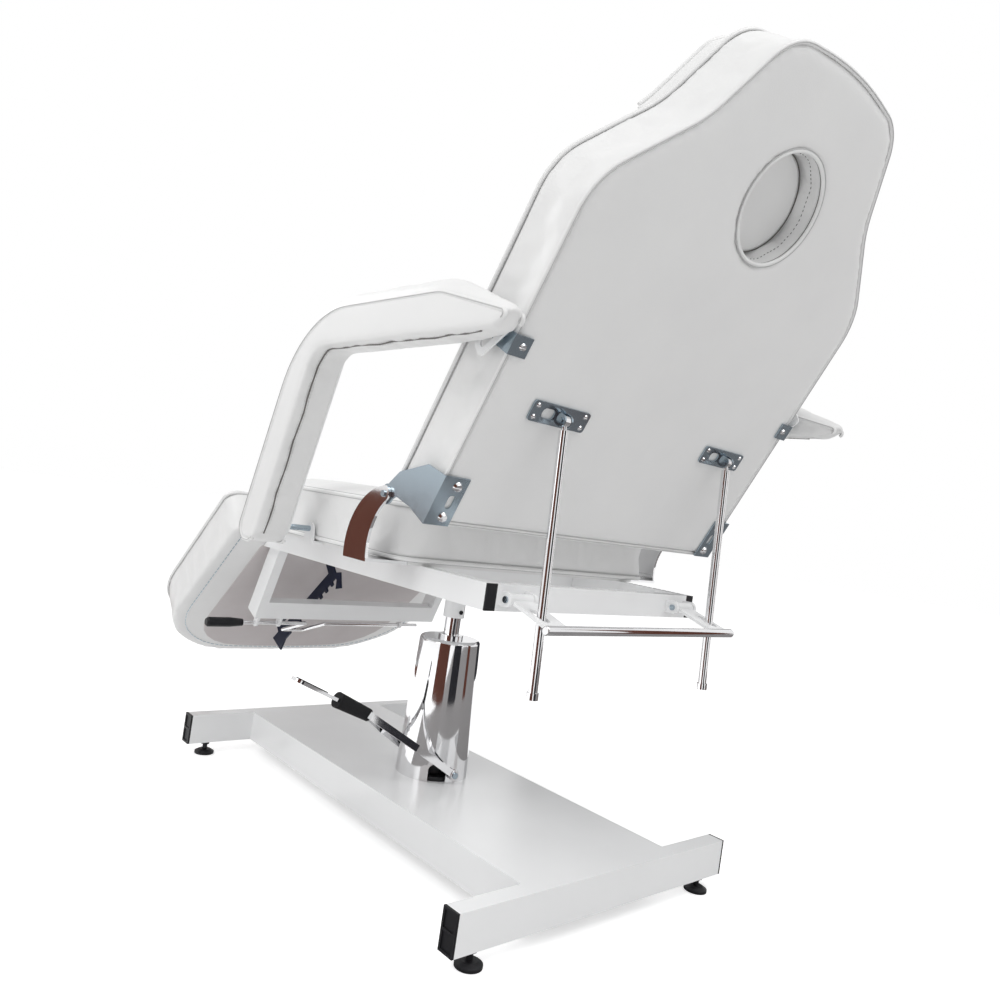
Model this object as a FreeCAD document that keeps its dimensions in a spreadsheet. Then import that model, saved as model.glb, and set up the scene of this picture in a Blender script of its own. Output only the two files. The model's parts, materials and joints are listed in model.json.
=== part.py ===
import FreeCAD, Part
import math
import os
import re
from FreeCAD import Placement, Rotation, Vector

# A hydraulic beauty treatment chair. Millimetres, +Z up, the sitter faces -Y and +X is the sitter's left.
# The origin lies on the floor under the middle of the chair's box.

# Driving dimensions. Lengths in millimetres, angles in degrees. Fore-and-aft places count from the pump's axis.
SIZES = {
    # base
    "pump_axis_y": 29.8,
    "foot_height": 26.0,
    "foot_pad_radius": 20.0,
    "foot_pad_height": 9.0,
    "foot_stud_radius": 5.0,
    "foot_inset": 42.0,
    "beam_length": 606.0,
    "beam_height": 60.0,
    "beam_width": 30.0,
    "beam_spacing": 906.0,
    "tube_wall": 2.0,
    "cap_thickness": 4.0,
    "base_width": 332.0,
    "base_rail_width": 30.0,
    "base_plate_thickness": 3.0,
    # pump
    "shroud_height": 264.0,
    "shroud_bottom_radius": 70.0,
    "shroud_top_radius": 59.0,
    "shroud_wall": 1.5,
    "shroud_edge_radius": 7.0,
    "notch_width": 30.0,
    "notch_height": 21.0,
    "cylinder_radius": 42.0,
    "cylinder_floor": 39.0,
    "piston_radius": 15.0,
    "piston_foot_rise": 74.0,
    "running_gap": 0.05,
    "gland_radius": 24.0,
    "gland_neck_radius": 18.0,
    "gland_height": 6.0,
    # pedal
    "pedal_pivot_x": 8.0,
    "pedal_pivot_rise": 18.0,
    "pedal_shaft_radius": 6.0,
    "pedal_arm_gap": 148.0,
    "pedal_arm_thickness": 8.0,
    "pedal_arm_depth": 13.0,
    "pedal_eye_radius": 10.0,
    "pedal_arm_length": 187.5,
    "pedal_tip_length": 179.0,
    "pedal_sleeve_length": 78.0,
    "pedal_sleeve_radius": 13.0,
    "pedal_tongue_width": 34.0,
    "pedal_tongue_thickness": 6.0,
    "pedal_rise_angle": 32.6,
    "pedal_tongue_angle": 24.0,
    "pedal_elbow_length": 97.0,
    "pedal_elbow_half": 60.0,
    "pedal_neck_half": 12.0,
    # seat frame
    "socket_gap": 40.0,
    "rail_height": 40.0,
    "rail_width": 20.0,
    "rail_half_span": 251.0,
    "rail_nose": 38.0,
    "rail_front_mitre": 43.6,
    "rail_rear": 366.0,
    "rail_cap_thickness": 3.0,
    "cross_tube_offset": 75.0,
    "saddle_height": 28.0,
    "saddle_width": 200.0,
    "saddle_length": 186.0,
    "saddle_thickness": 5.0,
    "socket_radius": 20.5,
    "socket_length": 48.0,
    "socket_screw_radius": 4.0,
    # pivot pins
    "pin_radius": 5.0,
    "side_gap": 0.5,
    # seat
    "seat_half_width": 302.0,
    "seat_front_gap": 14.0,
    "seat_rear_gap": 3.4,
    "crown_run": 105.0,
    "seat_corner_radius": 38.0,
    "seat_board_thickness": 14.0,
    "seat_board_inset": 14.0,
    "seat_side_height": 82.0,
    "seat_crown": 12.0,
    # backrest hinge
    "back_hinge_y": 224.4,
    "back_hinge_rise": 105.5,
    "back_lean": 28.2,
    "horn_thickness": 5.0,
    "horn_root_setback": 87.4,
    "horn_root_length": 64.0,
    "horn_tip_radius": 12.5,
    # backrest, sizes along its slope from its lower edge
    "back_half_width": 342.0,
    "back_edge_above_hinge": 16.0,
    "back_thickness": 100.0,
    "back_board_thickness": 12.0,
    "back_board_inset": 14.0,
    "back_crown": 17.0,
    "back_corner_radius": 28.0,
    "shoulder_height": 506.0,
    "shoulder_radius": 110.0,
    "neck_inset": 124.0,
    "neck_rise": 125.0,
    "neck_radius": 180.0,
    "head_inset": 70.0,
    "head_rise": 134.0,
    "head_radius": 80.0,
    "crest_rise": 21.0,
    "crest_radius": 600.0,
    "face_hole_drop": 44.0,
    "face_hole_radius": 80.0,
    "face_plug_gap": 0.5,
    "face_plug_recess": 42.0,
    "pillow_thickness": 26.0,
    "pillow_inset": 22.0,
    "pillow_start": 25.0,
    "pillow_hole_gap": 16.0,
    # steel brackets on the backrest
    "bracket_thickness": 3.0,
    "hinge_flange_width": 45.0,
    "hinge_flange_low": 17.0,
    "hinge_flange_high": 96.0,
    "screw_head_radius": 8.0,
    "screw_head_height": 4.0,
    "screw_shank_radius": 3.0,
    # support rods and release handle
    "rod_inset": 26.0,
    "rod_radius": 7.0,
    "rod_bracket_height": 219.0,
    "rod_bracket_length": 114.0,
    "rod_bracket_width": 32.0,
    "rod_pin_stand_off": 12.0,
    "rod_pin_radius": 4.0,
    "rod_eye_radius": 8.0,
    "rod_eye_thickness": 10.0,
    "rod_length": 384.5,
    "rod_stop_radius": 9.0,
    "rod_stop_height": 10.0,
    "release_pivot_behind": 16.0,
    "release_plate_length": 91.1,
    "release_plate_width": 44.0,
    "release_plate_inset": 32.0,
    "release_plate_thickness": 5.0,
    "release_drop_angle": 17.2,
    "release_slot_length": 38.0,
    "release_slot_place": 57.6,
    "release_slot_shift": -4.0,
    "release_slot_gap": 0.8,
    "release_bar_radius": 7.0,
    "release_bar_half_length": 227.0,
    "release_lug_thickness": 5.0,
    "release_lug_radius": 11.0,
    # armrests
    "arm_pivot_y": -56.0,
    "arm_pivot_rise": 24.0,
    "arm_lug_gap": 4.0,
    "arm_lug_thickness": 4.0,
    "arm_lug_length": 34.0,
    "arm_gap": 1.0,
    "arm_width": 65.0,
    "arm_post_width": 59.0,
    "arm_post_lean": 19.4,
    "arm_foot_drop": 30.0,
    "arm_under_rise": 293.0,
    "arm_depth": 57.0,
    "arm_tip_y": 534.0,
    "arm_tip_lift": 19.0,
    "arm_tip_taper": 118.0,
    "arm_dome": 26.0,
    "arm_frame_thickness": 3.0,
    "arm_frame_margin": 9.0,
    "arm_slot_inward": 23.0,
    "arm_slot_outward": 26.0,
    "arm_slot_gap": 1.0,
    "arm_pin_up_slope": 298.0,
    "arm_pin_depth": 72.0,
    "arm_flange_width": 32.0,
    "arm_flange_height": 29.0,
    # drop frame and latch
    "drop_depth": 40.0,
    "drop_width": 20.0,
    "drop_inset": 16.0,
    "drop_setback": 18.0,
    "drop_lean": 23.4,
    "drop_length": 148.0,
    "latch_rod_radius": 4.0,
    "latch_below_bar": 18.0,
    "latch_lug_thickness": 5.0,
    "latch_crank_half": 25.0,
    "latch_grip_radius": 10.0,
    "latch_grip_length": 78.0,
    # leg rest, sizes along it from its hinge
    "leg_hinge_y": -300.0,
    "leg_hinge_rise": 10.0,
    "leg_pin_radius": 4.0,
    "leg_drop_angle": 42.0,
    "leg_half_width": 332.0,
    "leg_start": 14.0,
    "leg_end": 505.0,
    "leg_bow": 13.0,
    "leg_board_drop": 6.0,
    "leg_board_thickness": 12.0,
    "leg_board_inset": 10.0,
    "leg_pad_height": 83.0,
    "leg_crown": 10.0,
    "leg_corner_radius": 200.0,
    "leg_strap_thickness": 4.5,
    "leg_lug_thickness": 5.0,
    # leg rest rack
    "rack_x": 80.0,
    "rack_thickness": 4.0,
    "rack_start": 64.0,
    "rack_end": 388.0,
    "rack_top": 40.0,
    "rack_notch_bottom": 64.0,
    "rack_tooth_tip": 72.0,
    "rack_pitch": 26.0,
    "rack_notches": 9,
    "rack_notch_width": 17.0,
    "rack_held_notch": 300.0,
    "rack_foot_length": 26.0,
}

doc = FreeCAD.newDocument("TreatmentChair")
sheet = doc.addObject("Spreadsheet::Sheet", "Sheet")
layout = doc.addObject("App::FeaturePython", "Layout")
PIECES = []


def fill_sheet():
    """Write every driving dimension to the sheet, with its name as the cell's alias."""
    for row, (alias, value) in enumerate(SIZES.items(), start=1):
        sheet.set(f"A{row}", alias)
        sheet.set(f"B{row}", str(value))
        sheet.setAlias(f"B{row}", alias)
    doc.recompute()


def size(name):
    """A driving dimension from the sheet, or a place of the layout that follows from them."""
    return float(sheet.get(name)) if name in SIZES else float(getattr(layout, name))


def qualify(expression):
    """Point each name of an expression at the sheet or at the layout."""
    def owner(match):
        word = match.group(0)
        if word in SIZES:
            return "Sheet." + word
        if word in layout.PropertiesList:
            return "Layout." + word
        return word
    return re.sub(r"[a-z][a-z_0-9]*", owner, expression)


def derive(name, expression):
    """Add a place that follows from the driving dimensions, as a bound property of the layout."""
    layout.addProperty("App::PropertyFloat", name, "Layout")
    layout.setExpression(name, qualify(expression))
    doc.recompute()
    return getattr(layout, name)


def bind(piece, **properties):
    """Bind a piece's properties to expressions."""
    for name, expression in properties.items():
        piece.setExpression(name.replace("__", "."), qualify(expression))


def name_piece(shape_object, label):
    """Give a finished sub-part the label that names its file."""
    shape_object.Label = label
    PIECES.append(shape_object)
    return shape_object


def box(name, length, corner):
    """A box whose sizes and lowest corner are bound to expressions."""
    piece = doc.addObject("Part::Box", name)
    bind(piece, Length=length[0], Width=length[1], Height=length[2])
    bind(piece, Placement__Base__x=corner[0], Placement__Base__y=corner[1], Placement__Base__z=corner[2])
    return piece


def cylinder(name, radius, height, foot, axis=Vector(0, 0, 1)):
    """A cylinder along an axis, bound to expressions."""
    piece = doc.addObject("Part::Cylinder", name)
    piece.Placement = Placement(Vector(), Rotation(Vector(0, 0, 1), axis))
    bind(piece, Radius=radius, Height=height)
    bind(piece, Placement__Base__x=foot[0], Placement__Base__y=foot[1], Placement__Base__z=foot[2])
    return piece


def cut(name, base, tool):
    piece = doc.addObject("Part::Cut", name)
    piece.Base = base
    piece.Tool = tool
    return piece


def fuse(name, *parts):
    piece = doc.addObject("Part::MultiFuse", name)
    piece.Shapes = list(parts)
    return piece


def group(name, *parts):
    """Separate solids kept in one node."""
    piece = doc.addObject("Part::Compound", name)
    piece.Links = list(parts)
    return piece


def feature(name, shape, place=Placement()):
    """A sub-part whose shape comes from profiles that no primitive fits."""
    piece = doc.addObject("Part::Feature", name)
    own_place = shape.Placement
    piece.Shape = shape
    piece.Placement = place.multiply(own_place)
    return piece


def tube_x(name, length, corner):
    """A rectangular tube along X."""
    outer = box(name + "_outer", length, corner)
    inner = box(name + "_bore", (length[0], f"{length[1]} - 2 * tube_wall", f"{length[2]} - 2 * tube_wall"),
                (corner[0], f"{corner[1]} + tube_wall", f"{corner[2]} + tube_wall"))
    return cut(name, outer, inner)


def tube_y(name, length, corner):
    """A rectangular tube along Y."""
    outer = box(name + "_outer", length, corner)
    inner = box(name + "_bore", (f"{length[0]} - 2 * tube_wall", length[1], f"{length[2]} - 2 * tube_wall"),
                (f"{corner[0]} + tube_wall", corner[1], f"{corner[2]} + tube_wall"))
    return cut(name, outer, inner)


def side_name(side):
    return "left" if side > 0 else "right"


def corner_x(outer, width, side):
    """The lower X of a piece whose outer face stands at outer on one side."""
    return f"{outer} - {width}" if side > 0 else f"-({outer})"


def offset_corners(corners, inset):
    """Move each side of a closed polygon inwards and find its corners again. Corners run anticlockwise."""
    count = len(corners)
    moved = []
    for index in range(count):
        before, here, after = (corners[(index + step) % count] for step in (-1, 0, 1))
        into = Vector(here[0] - before[0], here[1] - before[1], 0).normalize()
        out = Vector(after[0] - here[0], after[1] - here[1], 0).normalize()
        turn = into.x * out.y - into.y * out.x
        normal = Vector(-into.y, into.x, 0)
        if abs(turn) < 1e-9:
            shift = normal * inset
        else:
            next_normal = Vector(-out.y, out.x, 0)
            shift = (normal + next_normal) * (inset / (1 + normal.dot(next_normal)))
        moved.append((here[0] + shift.x, here[1] + shift.y, turn))
    return moved


def rounded_wire(corners, inset=0.0, height=0.0):
    """A closed wire of lines and tangent arcs. Each corner is (x, y, radius), and inset draws the wire in."""
    least_radius = 5.0
    moved = offset_corners(corners, inset)
    count = len(moved)
    starts, ends, middles = [], [], []
    for index, (x, y, turn) in enumerate(moved):
        before = moved[index - 1]
        after = moved[(index + 1) % count]
        radius = max(corners[index][2] - inset, least_radius) if turn > 0 else corners[index][2] + inset
        here = Vector(x, y, height)
        back = Vector(before[0] - x, before[1] - y, 0).normalize()
        ahead = Vector(after[0] - x, after[1] - y, 0).normalize()
        half_angle = math.acos(max(-1.0, min(1.0, back.dot(ahead)))) / 2
        reach = radius / math.tan(half_angle)
        bisector = (back + ahead).normalize()
        starts.append(here + back * reach)
        ends.append(here + ahead * reach)
        middles.append(here + bisector * (radius / math.sin(half_angle) - radius))
    edges = []
    for index in range(count):
        edges.append(Part.Arc(starts[index], middles[index], ends[index]).toShape())
        edges.append(Part.LineSegment(ends[index], starts[(index + 1) % count]).toShape())
    return Part.Wire(edges)


def cushion(corners, stations):
    """A crowned cushion: a loft through one outline, drawn in by a different amount at each height."""
    wires = [rounded_wire(corners, inset, height) for height, inset in stations]
    return Part.makeLoft(wires, True, True)


def cushion_stations(side_height, crown, run):
    """Heights and insets of a boxed cushion: rounded lower edge, drawn-in side, piped edge, crown.

    The crown rises over a run in from the edge.
    """
    piping = 3.0
    drawn_in = 6.0
    return [(0, piping), (5, 0), (side_height * 0.5, drawn_in), (side_height - 4, 0), (side_height, piping),
            (side_height + crown * 0.45, run * 0.23), (side_height + crown * 0.8, run * 0.55),
            (side_height + crown, run)]


def plate(corners, thickness, inset=0.0):
    """A flat plate with a rounded outline."""
    return Part.Face(rounded_wire(corners, inset)).extrude(Vector(0, 0, thickness))


def yz_frame(x, y, z, tilt=0.0):
    """A frame in a fore-and-aft plane: its X runs along Y, its Y up, and its Z along +X, turned by tilt."""
    upright = Rotation(Vector(0, 1, 0), Vector(0, 0, 1), Vector(1, 0, 0), "XYZ")
    return Placement(Vector(x, y, z), upright.multiply(Rotation(Vector(0, 0, 1), tilt)))


def rod_shape(points, radius):
    """A round bar through points, with mitred corners."""
    pieces = []
    for start, end in zip(points, points[1:]):
        run = end - start
        pieces.append(Part.makeCylinder(radius, run.Length, start, run))
    joints = [Part.makeSphere(radius, point) for point in points[1:-1]]
    solid = pieces[0]
    for piece in pieces[1:] + joints:
        solid = solid.fuse(piece)
    return solid.removeSplitter()


def place_layout():
    """The places that several pieces share, each one after the places it follows from."""
    places = {
        "beam_top": "foot_height + beam_height",
        "beam_half_length": "beam_length / 2",
        "shroud_top": "beam_top + shroud_height",
        "piston_bottom": "beam_top + piston_foot_rise",
        "pedal_pivot_z": "beam_top + pedal_pivot_rise",
        "socket_bottom": "shroud_top + socket_gap",
        "saddle_bottom": "socket_bottom + socket_length",
        "piston_top": "saddle_bottom - 0.3",
        "rail_bottom": "saddle_bottom + saddle_height",
        "rail_top_height": "rail_bottom + rail_height",
        "rail_inner": "rail_half_span - rail_width",
        "rail_front_y": "pump_axis_y + leg_hinge_y - rail_nose",
        "rail_rear_y": "pump_axis_y + rail_rear",
        "seat_board_top": "rail_top_height + seat_board_thickness",
        "seat_front_y": "pump_axis_y + leg_hinge_y + seat_front_gap",
        "seat_rear_y": "pump_axis_y + back_hinge_y - seat_rear_gap",
        "back_hinge_place": "pump_axis_y + back_hinge_y",
        "back_hinge_height": "rail_top_height + back_hinge_rise",
        "bracket_inner": "back_half_width + 2.5",
        "bracket_outer": "bracket_inner + bracket_thickness",
        "horn_inner": "bracket_outer + side_gap",
        "horn_outer": "horn_inner + horn_thickness",
        "horn_root_front": "back_hinge_place - horn_root_setback",
        "horn_root_rear": "horn_root_front + horn_root_length",
        "neck_half_width": "back_half_width - neck_inset",
        "neck_height": "shoulder_height + neck_rise",
        "head_half_width": "neck_half_width - head_inset",
        "head_height": "neck_height + head_rise",
        "crest_height": "head_height + crest_rise",
        "face_hole_height": "neck_height - face_hole_drop",
        "rod_spread": "rail_inner - rod_inset",
        "release_plate_x": "rail_inner - release_plate_inset",
        "release_pivot_y": "rail_rear_y + rail_cap_thickness + release_pivot_behind",
        "release_pivot_z": "rail_bottom + rail_height / 2",
        "arm_pivot_place": "pump_axis_y + arm_pivot_y",
        "arm_pivot_height": "rail_top_height + arm_pivot_rise",
        "arm_lug_x": "seat_half_width + arm_lug_gap",
        "arm_inner": "horn_outer + arm_gap + arm_frame_thickness",
        "arm_post_foot": "arm_pivot_height - arm_foot_drop",
        "arm_under": "arm_pivot_height + arm_under_rise",
        "drop_half_span": "rail_half_span - drop_inset",
        "drop_root_y": "pump_axis_y + leg_hinge_y - drop_setback",
        "drop_end_height": "rail_bottom - drop_length",
        "leg_hinge_place": "pump_axis_y + leg_hinge_y",
        "leg_hinge_height": "rail_top_height + leg_hinge_rise",
        "front_cross_y": "leg_hinge_place + 15",
    }
    for name, expression in places.items():
        derive(name, expression)


# Base


def make_base():
    for name, sign in (("rear_beam", 1), ("front_beam", -1)):
        middle = f"pump_axis_y + {sign} * beam_spacing / 2"
        beam = tube_x(name + "_tube", ("beam_length", "beam_width", "beam_height"),
                      ("-beam_half_length", f"{middle} - beam_width / 2", "foot_height"))
        holes = [cylinder(f"{name}_stud_hole_{side_name(side)}", "foot_stud_radius + running_gap",
                          "4 * tube_wall", (f"{side} * (beam_half_length - foot_inset)", middle,
                                            "foot_height - tube_wall"))
                 for side in (1, -1)]
        name_piece(cut(name, beam, fuse(name + "_holes", *holes)), name)
    rail_run = "beam_spacing - beam_width"
    rails = [tube_y("base_rail_" + side_name(side),
                    ("base_rail_width", rail_run, "beam_height - base_plate_thickness"),
                    (corner_x("base_width / 2", "base_rail_width", side),
                     f"pump_axis_y - ({rail_run}) / 2", "foot_height"))
             for side in (1, -1)]
    for side, rail in zip((1, -1), rails):
        name_piece(rail, "base_rail_" + side_name(side))
    cover = box("base_plate", ("base_width", rail_run, "base_plate_thickness"),
                ("-base_width / 2", f"pump_axis_y - ({rail_run}) / 2", "beam_top - base_plate_thickness"))
    name_piece(cover, "base_plate")
    name_piece(group("beam_end_caps", *[beam_cap(side, sign) for side in (1, -1) for sign in (1, -1)]),
               "beam_end_caps")
    name_piece(group("levelling_feet", *[levelling_foot(side, sign) for side in (1, -1) for sign in (1, -1)]),
               "levelling_feet")


def beam_cap(side, sign):
    """A plastic plug for a beam's end, with two recessed cells in its face."""
    name = f"beam_cap_{side_name(side)}_{'rear' if sign > 0 else 'front'}"
    front = f"pump_axis_y + {sign} * beam_spacing / 2 - beam_width / 2"
    face_x = "beam_half_length" if side > 0 else "-beam_half_length - cap_thickness"
    face = box(name + "_face", ("cap_thickness", "beam_width", "beam_height"), (face_x, front, "foot_height"))
    plug_x = "beam_half_length - 3 * cap_thickness" if side > 0 else "-beam_half_length"
    plug = box(name + "_plug",
               ("3 * cap_thickness", "beam_width - 2 * tube_wall", "beam_height - 2 * tube_wall"),
               (plug_x, f"{front} + tube_wall", "foot_height + tube_wall"))
    cell_x = "beam_half_length + cap_thickness / 2" if side > 0 else "-beam_half_length - cap_thickness"
    cells = [box(f"{name}_cell_{row}", ("cap_thickness / 2", "beam_width - 8", "beam_height / 2 - 6"),
                 (cell_x, f"{front} + 4", f"foot_height + 4 + {row} * (beam_height / 2 - 2)"))
             for row in (0, 1)]
    return cut(name, fuse(name + "_body", face, plug), fuse(name + "_cells", *cells))


def levelling_foot(side, sign):
    """A mushroom pad on a threaded stud."""
    name = f"foot_{side_name(side)}_{'rear' if sign > 0 else 'front'}"
    x = f"{side} * (beam_half_length - foot_inset)"
    y = f"pump_axis_y + {sign} * beam_spacing / 2"
    sole = cylinder(name + "_sole", "foot_pad_radius", "foot_pad_height / 2", (x, y, "0"))
    dome = doc.addObject("Part::Cone", name + "_dome")
    bind(dome, Radius1="foot_pad_radius", Radius2="foot_pad_radius * 0.6", Height="foot_pad_height / 2")
    bind(dome, Placement__Base__x=x, Placement__Base__y=y, Placement__Base__z="foot_pad_height / 2")
    stud = cylinder(name + "_stud", "foot_stud_radius", "foot_height + 3 * tube_wall", (x, y, "0"))
    nut = doc.addObject("Part::Prism", name + "_nut")
    nut.Polygon = 6
    bind(nut, Circumradius="foot_stud_radius * 1.9", Height="6")
    bind(nut, Placement__Base__x=x, Placement__Base__y=y, Placement__Base__z="foot_height - 6")
    return fuse(name, sole, dome, stud, nut)


# Pump


def make_pump():
    axis = ("0", "pump_axis_y")
    outer = doc.addObject("Part::Cone", "shroud_outer")
    bind(outer, Radius1="shroud_bottom_radius", Radius2="shroud_top_radius", Height="shroud_height")
    bind(outer, Placement__Base__y="pump_axis_y", Placement__Base__z="beam_top")
    doc.recompute()
    edge = max(range(len(outer.Shape.Edges)), key=lambda i: outer.Shape.Edges[i].CenterOfMass.z) + 1
    rounded = doc.addObject("Part::Fillet", "shroud_rounded")
    rounded.Base = outer
    rounded.Edges = [(edge, size("shroud_edge_radius"), size("shroud_edge_radius"))]
    inner = doc.addObject("Part::Cone", "shroud_inner")
    bind(inner, Radius1="shroud_bottom_radius - shroud_wall", Radius2="shroud_top_radius - shroud_wall - 5",
         Height="shroud_height - shroud_wall")
    bind(inner, Placement__Base__y="pump_axis_y", Placement__Base__z="beam_top")
    neck_hole = cylinder("shroud_neck_hole", "gland_neck_radius + 0.3", "4 * shroud_wall",
                         (*axis, "shroud_top - 2 * shroud_wall"))
    shaft_hole = cylinder("shroud_shaft_hole", "pedal_shaft_radius + 1", "2 * shroud_bottom_radius + 2",
                          ("pedal_pivot_x", "pump_axis_y - shroud_bottom_radius - 1", "pedal_pivot_z"),
                          Vector(0, 1, 0))
    notch = box("shroud_notch", ("notch_width", "shroud_bottom_radius", "notch_height"),
                ("pedal_pivot_x + pedal_shaft_radius + 4", "pump_axis_y + cylinder_radius", "beam_top"))
    arch = cylinder("shroud_notch_arch", "notch_width / 2", "shroud_bottom_radius",
                    ("pedal_pivot_x + pedal_shaft_radius + 4 + notch_width / 2",
                     "pump_axis_y + cylinder_radius", "beam_top + notch_height"), Vector(0, 1, 0))
    hollow = fuse("shroud_hollow", inner, neck_hole, shaft_hole, notch, arch)
    name_piece(cut("pump_shroud", rounded, hollow), "pump_shroud")

    body = cylinder("pump_barrel", "cylinder_radius", "shroud_height - 7", (*axis, "beam_top"))
    flange = cylinder("pump_flange", "shroud_bottom_radius - 8", "8", (*axis, "beam_top"))
    bore = cylinder("pump_bore", "piston_radius + running_gap", "shroud_height",
                    (*axis, "beam_top + cylinder_floor"))
    cross = cylinder("pump_cross_bore", "pedal_shaft_radius", "2 * cylinder_radius + 2",
                     ("pedal_pivot_x", "pump_axis_y - cylinder_radius - 1", "pedal_pivot_z"), Vector(0, 1, 0))
    name_piece(cut("pump_cylinder", fuse("pump_casting", body, flange), fuse("pump_bores", bore, cross)),
               "pump_cylinder")

    neck = cylinder("gland_neck", "gland_neck_radius", "7", (*axis, "shroud_top - 7"))
    collar = cylinder("gland_collar", "gland_radius", "gland_height", (*axis, "shroud_top"))
    gland_bore = cylinder("gland_bore", "piston_radius + running_gap", "gland_height + 9",
                          (*axis, "shroud_top - 8"))
    name_piece(cut("pump_gland", fuse("gland_body", neck, collar), gland_bore), "pump_gland")

    shaft = cylinder("pedal_shaft", "pedal_shaft_radius", "pedal_arm_gap + 2 * pedal_arm_thickness + 4",
                     ("pedal_pivot_x", "pump_axis_y - pedal_arm_gap / 2 - pedal_arm_thickness - 2",
                      "pedal_pivot_z"), Vector(0, 1, 0))
    name_piece(shaft, "pedal_shaft")
    piston = cylinder("piston_rod", "piston_radius", "piston_top - piston_bottom", (*axis, "piston_bottom"))
    name_piece(piston, "piston_rod")


# Foot pedal, drawn flat along +X from its pivot and then raised


def pedal_frame():
    pivot = Vector(size("pedal_pivot_x"), size("pump_axis_y"), layout.pedal_pivot_z)
    return Placement(pivot, Rotation(Vector(0, 1, 0), -size("pedal_rise_angle")))


def make_pedal():
    """Two flat arms that close to a neck, a rubber sleeve and a tongue to step on."""
    thickness = size("pedal_arm_thickness")
    depth = size("pedal_arm_depth")
    middle = size("pedal_arm_gap") / 2 + thickness / 2
    reach, elbow = size("pedal_arm_length"), size("pedal_elbow_length")
    elbow_half, neck = size("pedal_elbow_half"), size("pedal_neck_half")
    half = thickness / 2
    block = 10.0
    outer = [(0, middle + half), (elbow + 1, elbow_half + half), (reach + 2, neck + half),
             (reach + block, neck + half)]
    inner = [(0, middle - half), (elbow - 1, elbow_half - half), (reach - 2, neck - half)]
    points = outer + [(x, -y) for x, y in reversed(outer)] + [(x, -y) for x, y in inner] + inner[::-1]
    corners = [Vector(x, y, -depth / 2) for x, y in points]
    yoke = Part.Face(Part.makePolygon(corners + corners[:1])).extrude(Vector(0, 0, depth))
    for side in (1, -1):
        start = Vector(0, side * middle - half, 0)
        yoke = yoke.fuse(Part.makeCylinder(size("pedal_eye_radius"), thickness, start, Vector(0, 1, 0)))
    hole = size("pedal_shaft_radius") + size("running_gap")
    yoke = yoke.cut(Part.makeCylinder(hole, 4 * middle, Vector(0, -2 * middle, 0), Vector(0, 1, 0)))
    yoke = yoke.removeSplitter()
    place = pedal_frame()
    yoke.Placement = place
    name_piece(feature("pedal_yoke", yoke), "pedal_yoke")

    neck_end = place.multVec(Vector(reach, 0, 0))
    tongue_place = Placement(neck_end, Rotation(Vector(0, 1, 0), -size("pedal_tongue_angle")))
    sleeve_end = size("pedal_sleeve_length")
    sleeve_radius = size("pedal_sleeve_radius")
    tongue_thickness = size("pedal_tongue_thickness")
    core_half = 7.0
    core = Part.makeBox(sleeve_end + 10, 2 * core_half, tongue_thickness,
                        Vector(0, -core_half, -tongue_thickness / 2))
    sleeve = Part.makeCone(sleeve_radius * 0.9, sleeve_radius * 1.12, sleeve_end, Vector(), Vector(1, 0, 0))
    yoke_space = yoke.copy()
    yoke_space.Placement = tongue_place.inverse().multiply(place)
    sleeve = sleeve.cut(core).cut(yoke_space)
    name_piece(feature("pedal_sleeve", sleeve, tongue_place), "pedal_sleeve")

    half_width = size("pedal_tongue_width") / 2
    tip = size("pedal_tip_length")
    tongue = plate([(sleeve_end, -half_width * 0.6, 4), (tip, -half_width, 15), (tip, half_width, 15),
                    (sleeve_end, half_width * 0.6, 4)], tongue_thickness)
    tongue.translate(Vector(0, 0, -tongue_thickness / 2))
    tongue = tongue.fuse(core.cut(yoke_space)).removeSplitter()
    recess = 2.0
    insert_corners = [(tip - 74, -half_width * 0.5, 6), (tip - 8, -half_width * 0.7, 9),
                      (tip - 8, half_width * 0.7, 9), (tip - 74, half_width * 0.5, 6)]
    seat = plate(insert_corners, recess)
    seat.translate(Vector(0, 0, tongue_thickness / 2 - recess))
    name_piece(feature("pedal_tongue", tongue.cut(seat), tongue_place), "pedal_tongue")
    insert = plate(insert_corners, recess + 1.5, 0.1)
    insert.translate(Vector(0, 0, tongue_thickness / 2 - recess))
    name_piece(feature("pedal_insert", insert, tongue_place), "pedal_insert")


# Seat frame


def make_seat_frame():
    rail_run = "rail_rear_y - rail_front_y"
    for side in (1, -1):
        name_piece(side_rail(side, rail_run), "side_rail_" + side_name(side))
    rear = tube_x("rear_crossmember", ("2 * rail_inner", "rail_width", "rail_height"),
                  ("-rail_inner", "rail_rear_y + rail_cap_thickness - rail_width", "rail_bottom"))
    name_piece(rear, "rear_crossmember")
    places = (("front", "front_cross_y"), ("middle_front", "pump_axis_y - cross_tube_offset - rail_width / 2"),
              ("middle_rear", "pump_axis_y + cross_tube_offset - rail_width / 2"))
    tubes = [tube_x("cross_tube_" + word, ("2 * rail_inner", "rail_width", "rail_height"),
                    ("-rail_inner", place, "rail_bottom"))
             for word, place in places]
    name_piece(group("cross_tubes", *tubes), "cross_tubes")
    name_piece(group("rail_end_caps", *[rail_cap(side) for side in (1, -1)]), "rail_end_caps")
    make_saddle()
    make_drop_frame()


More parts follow.
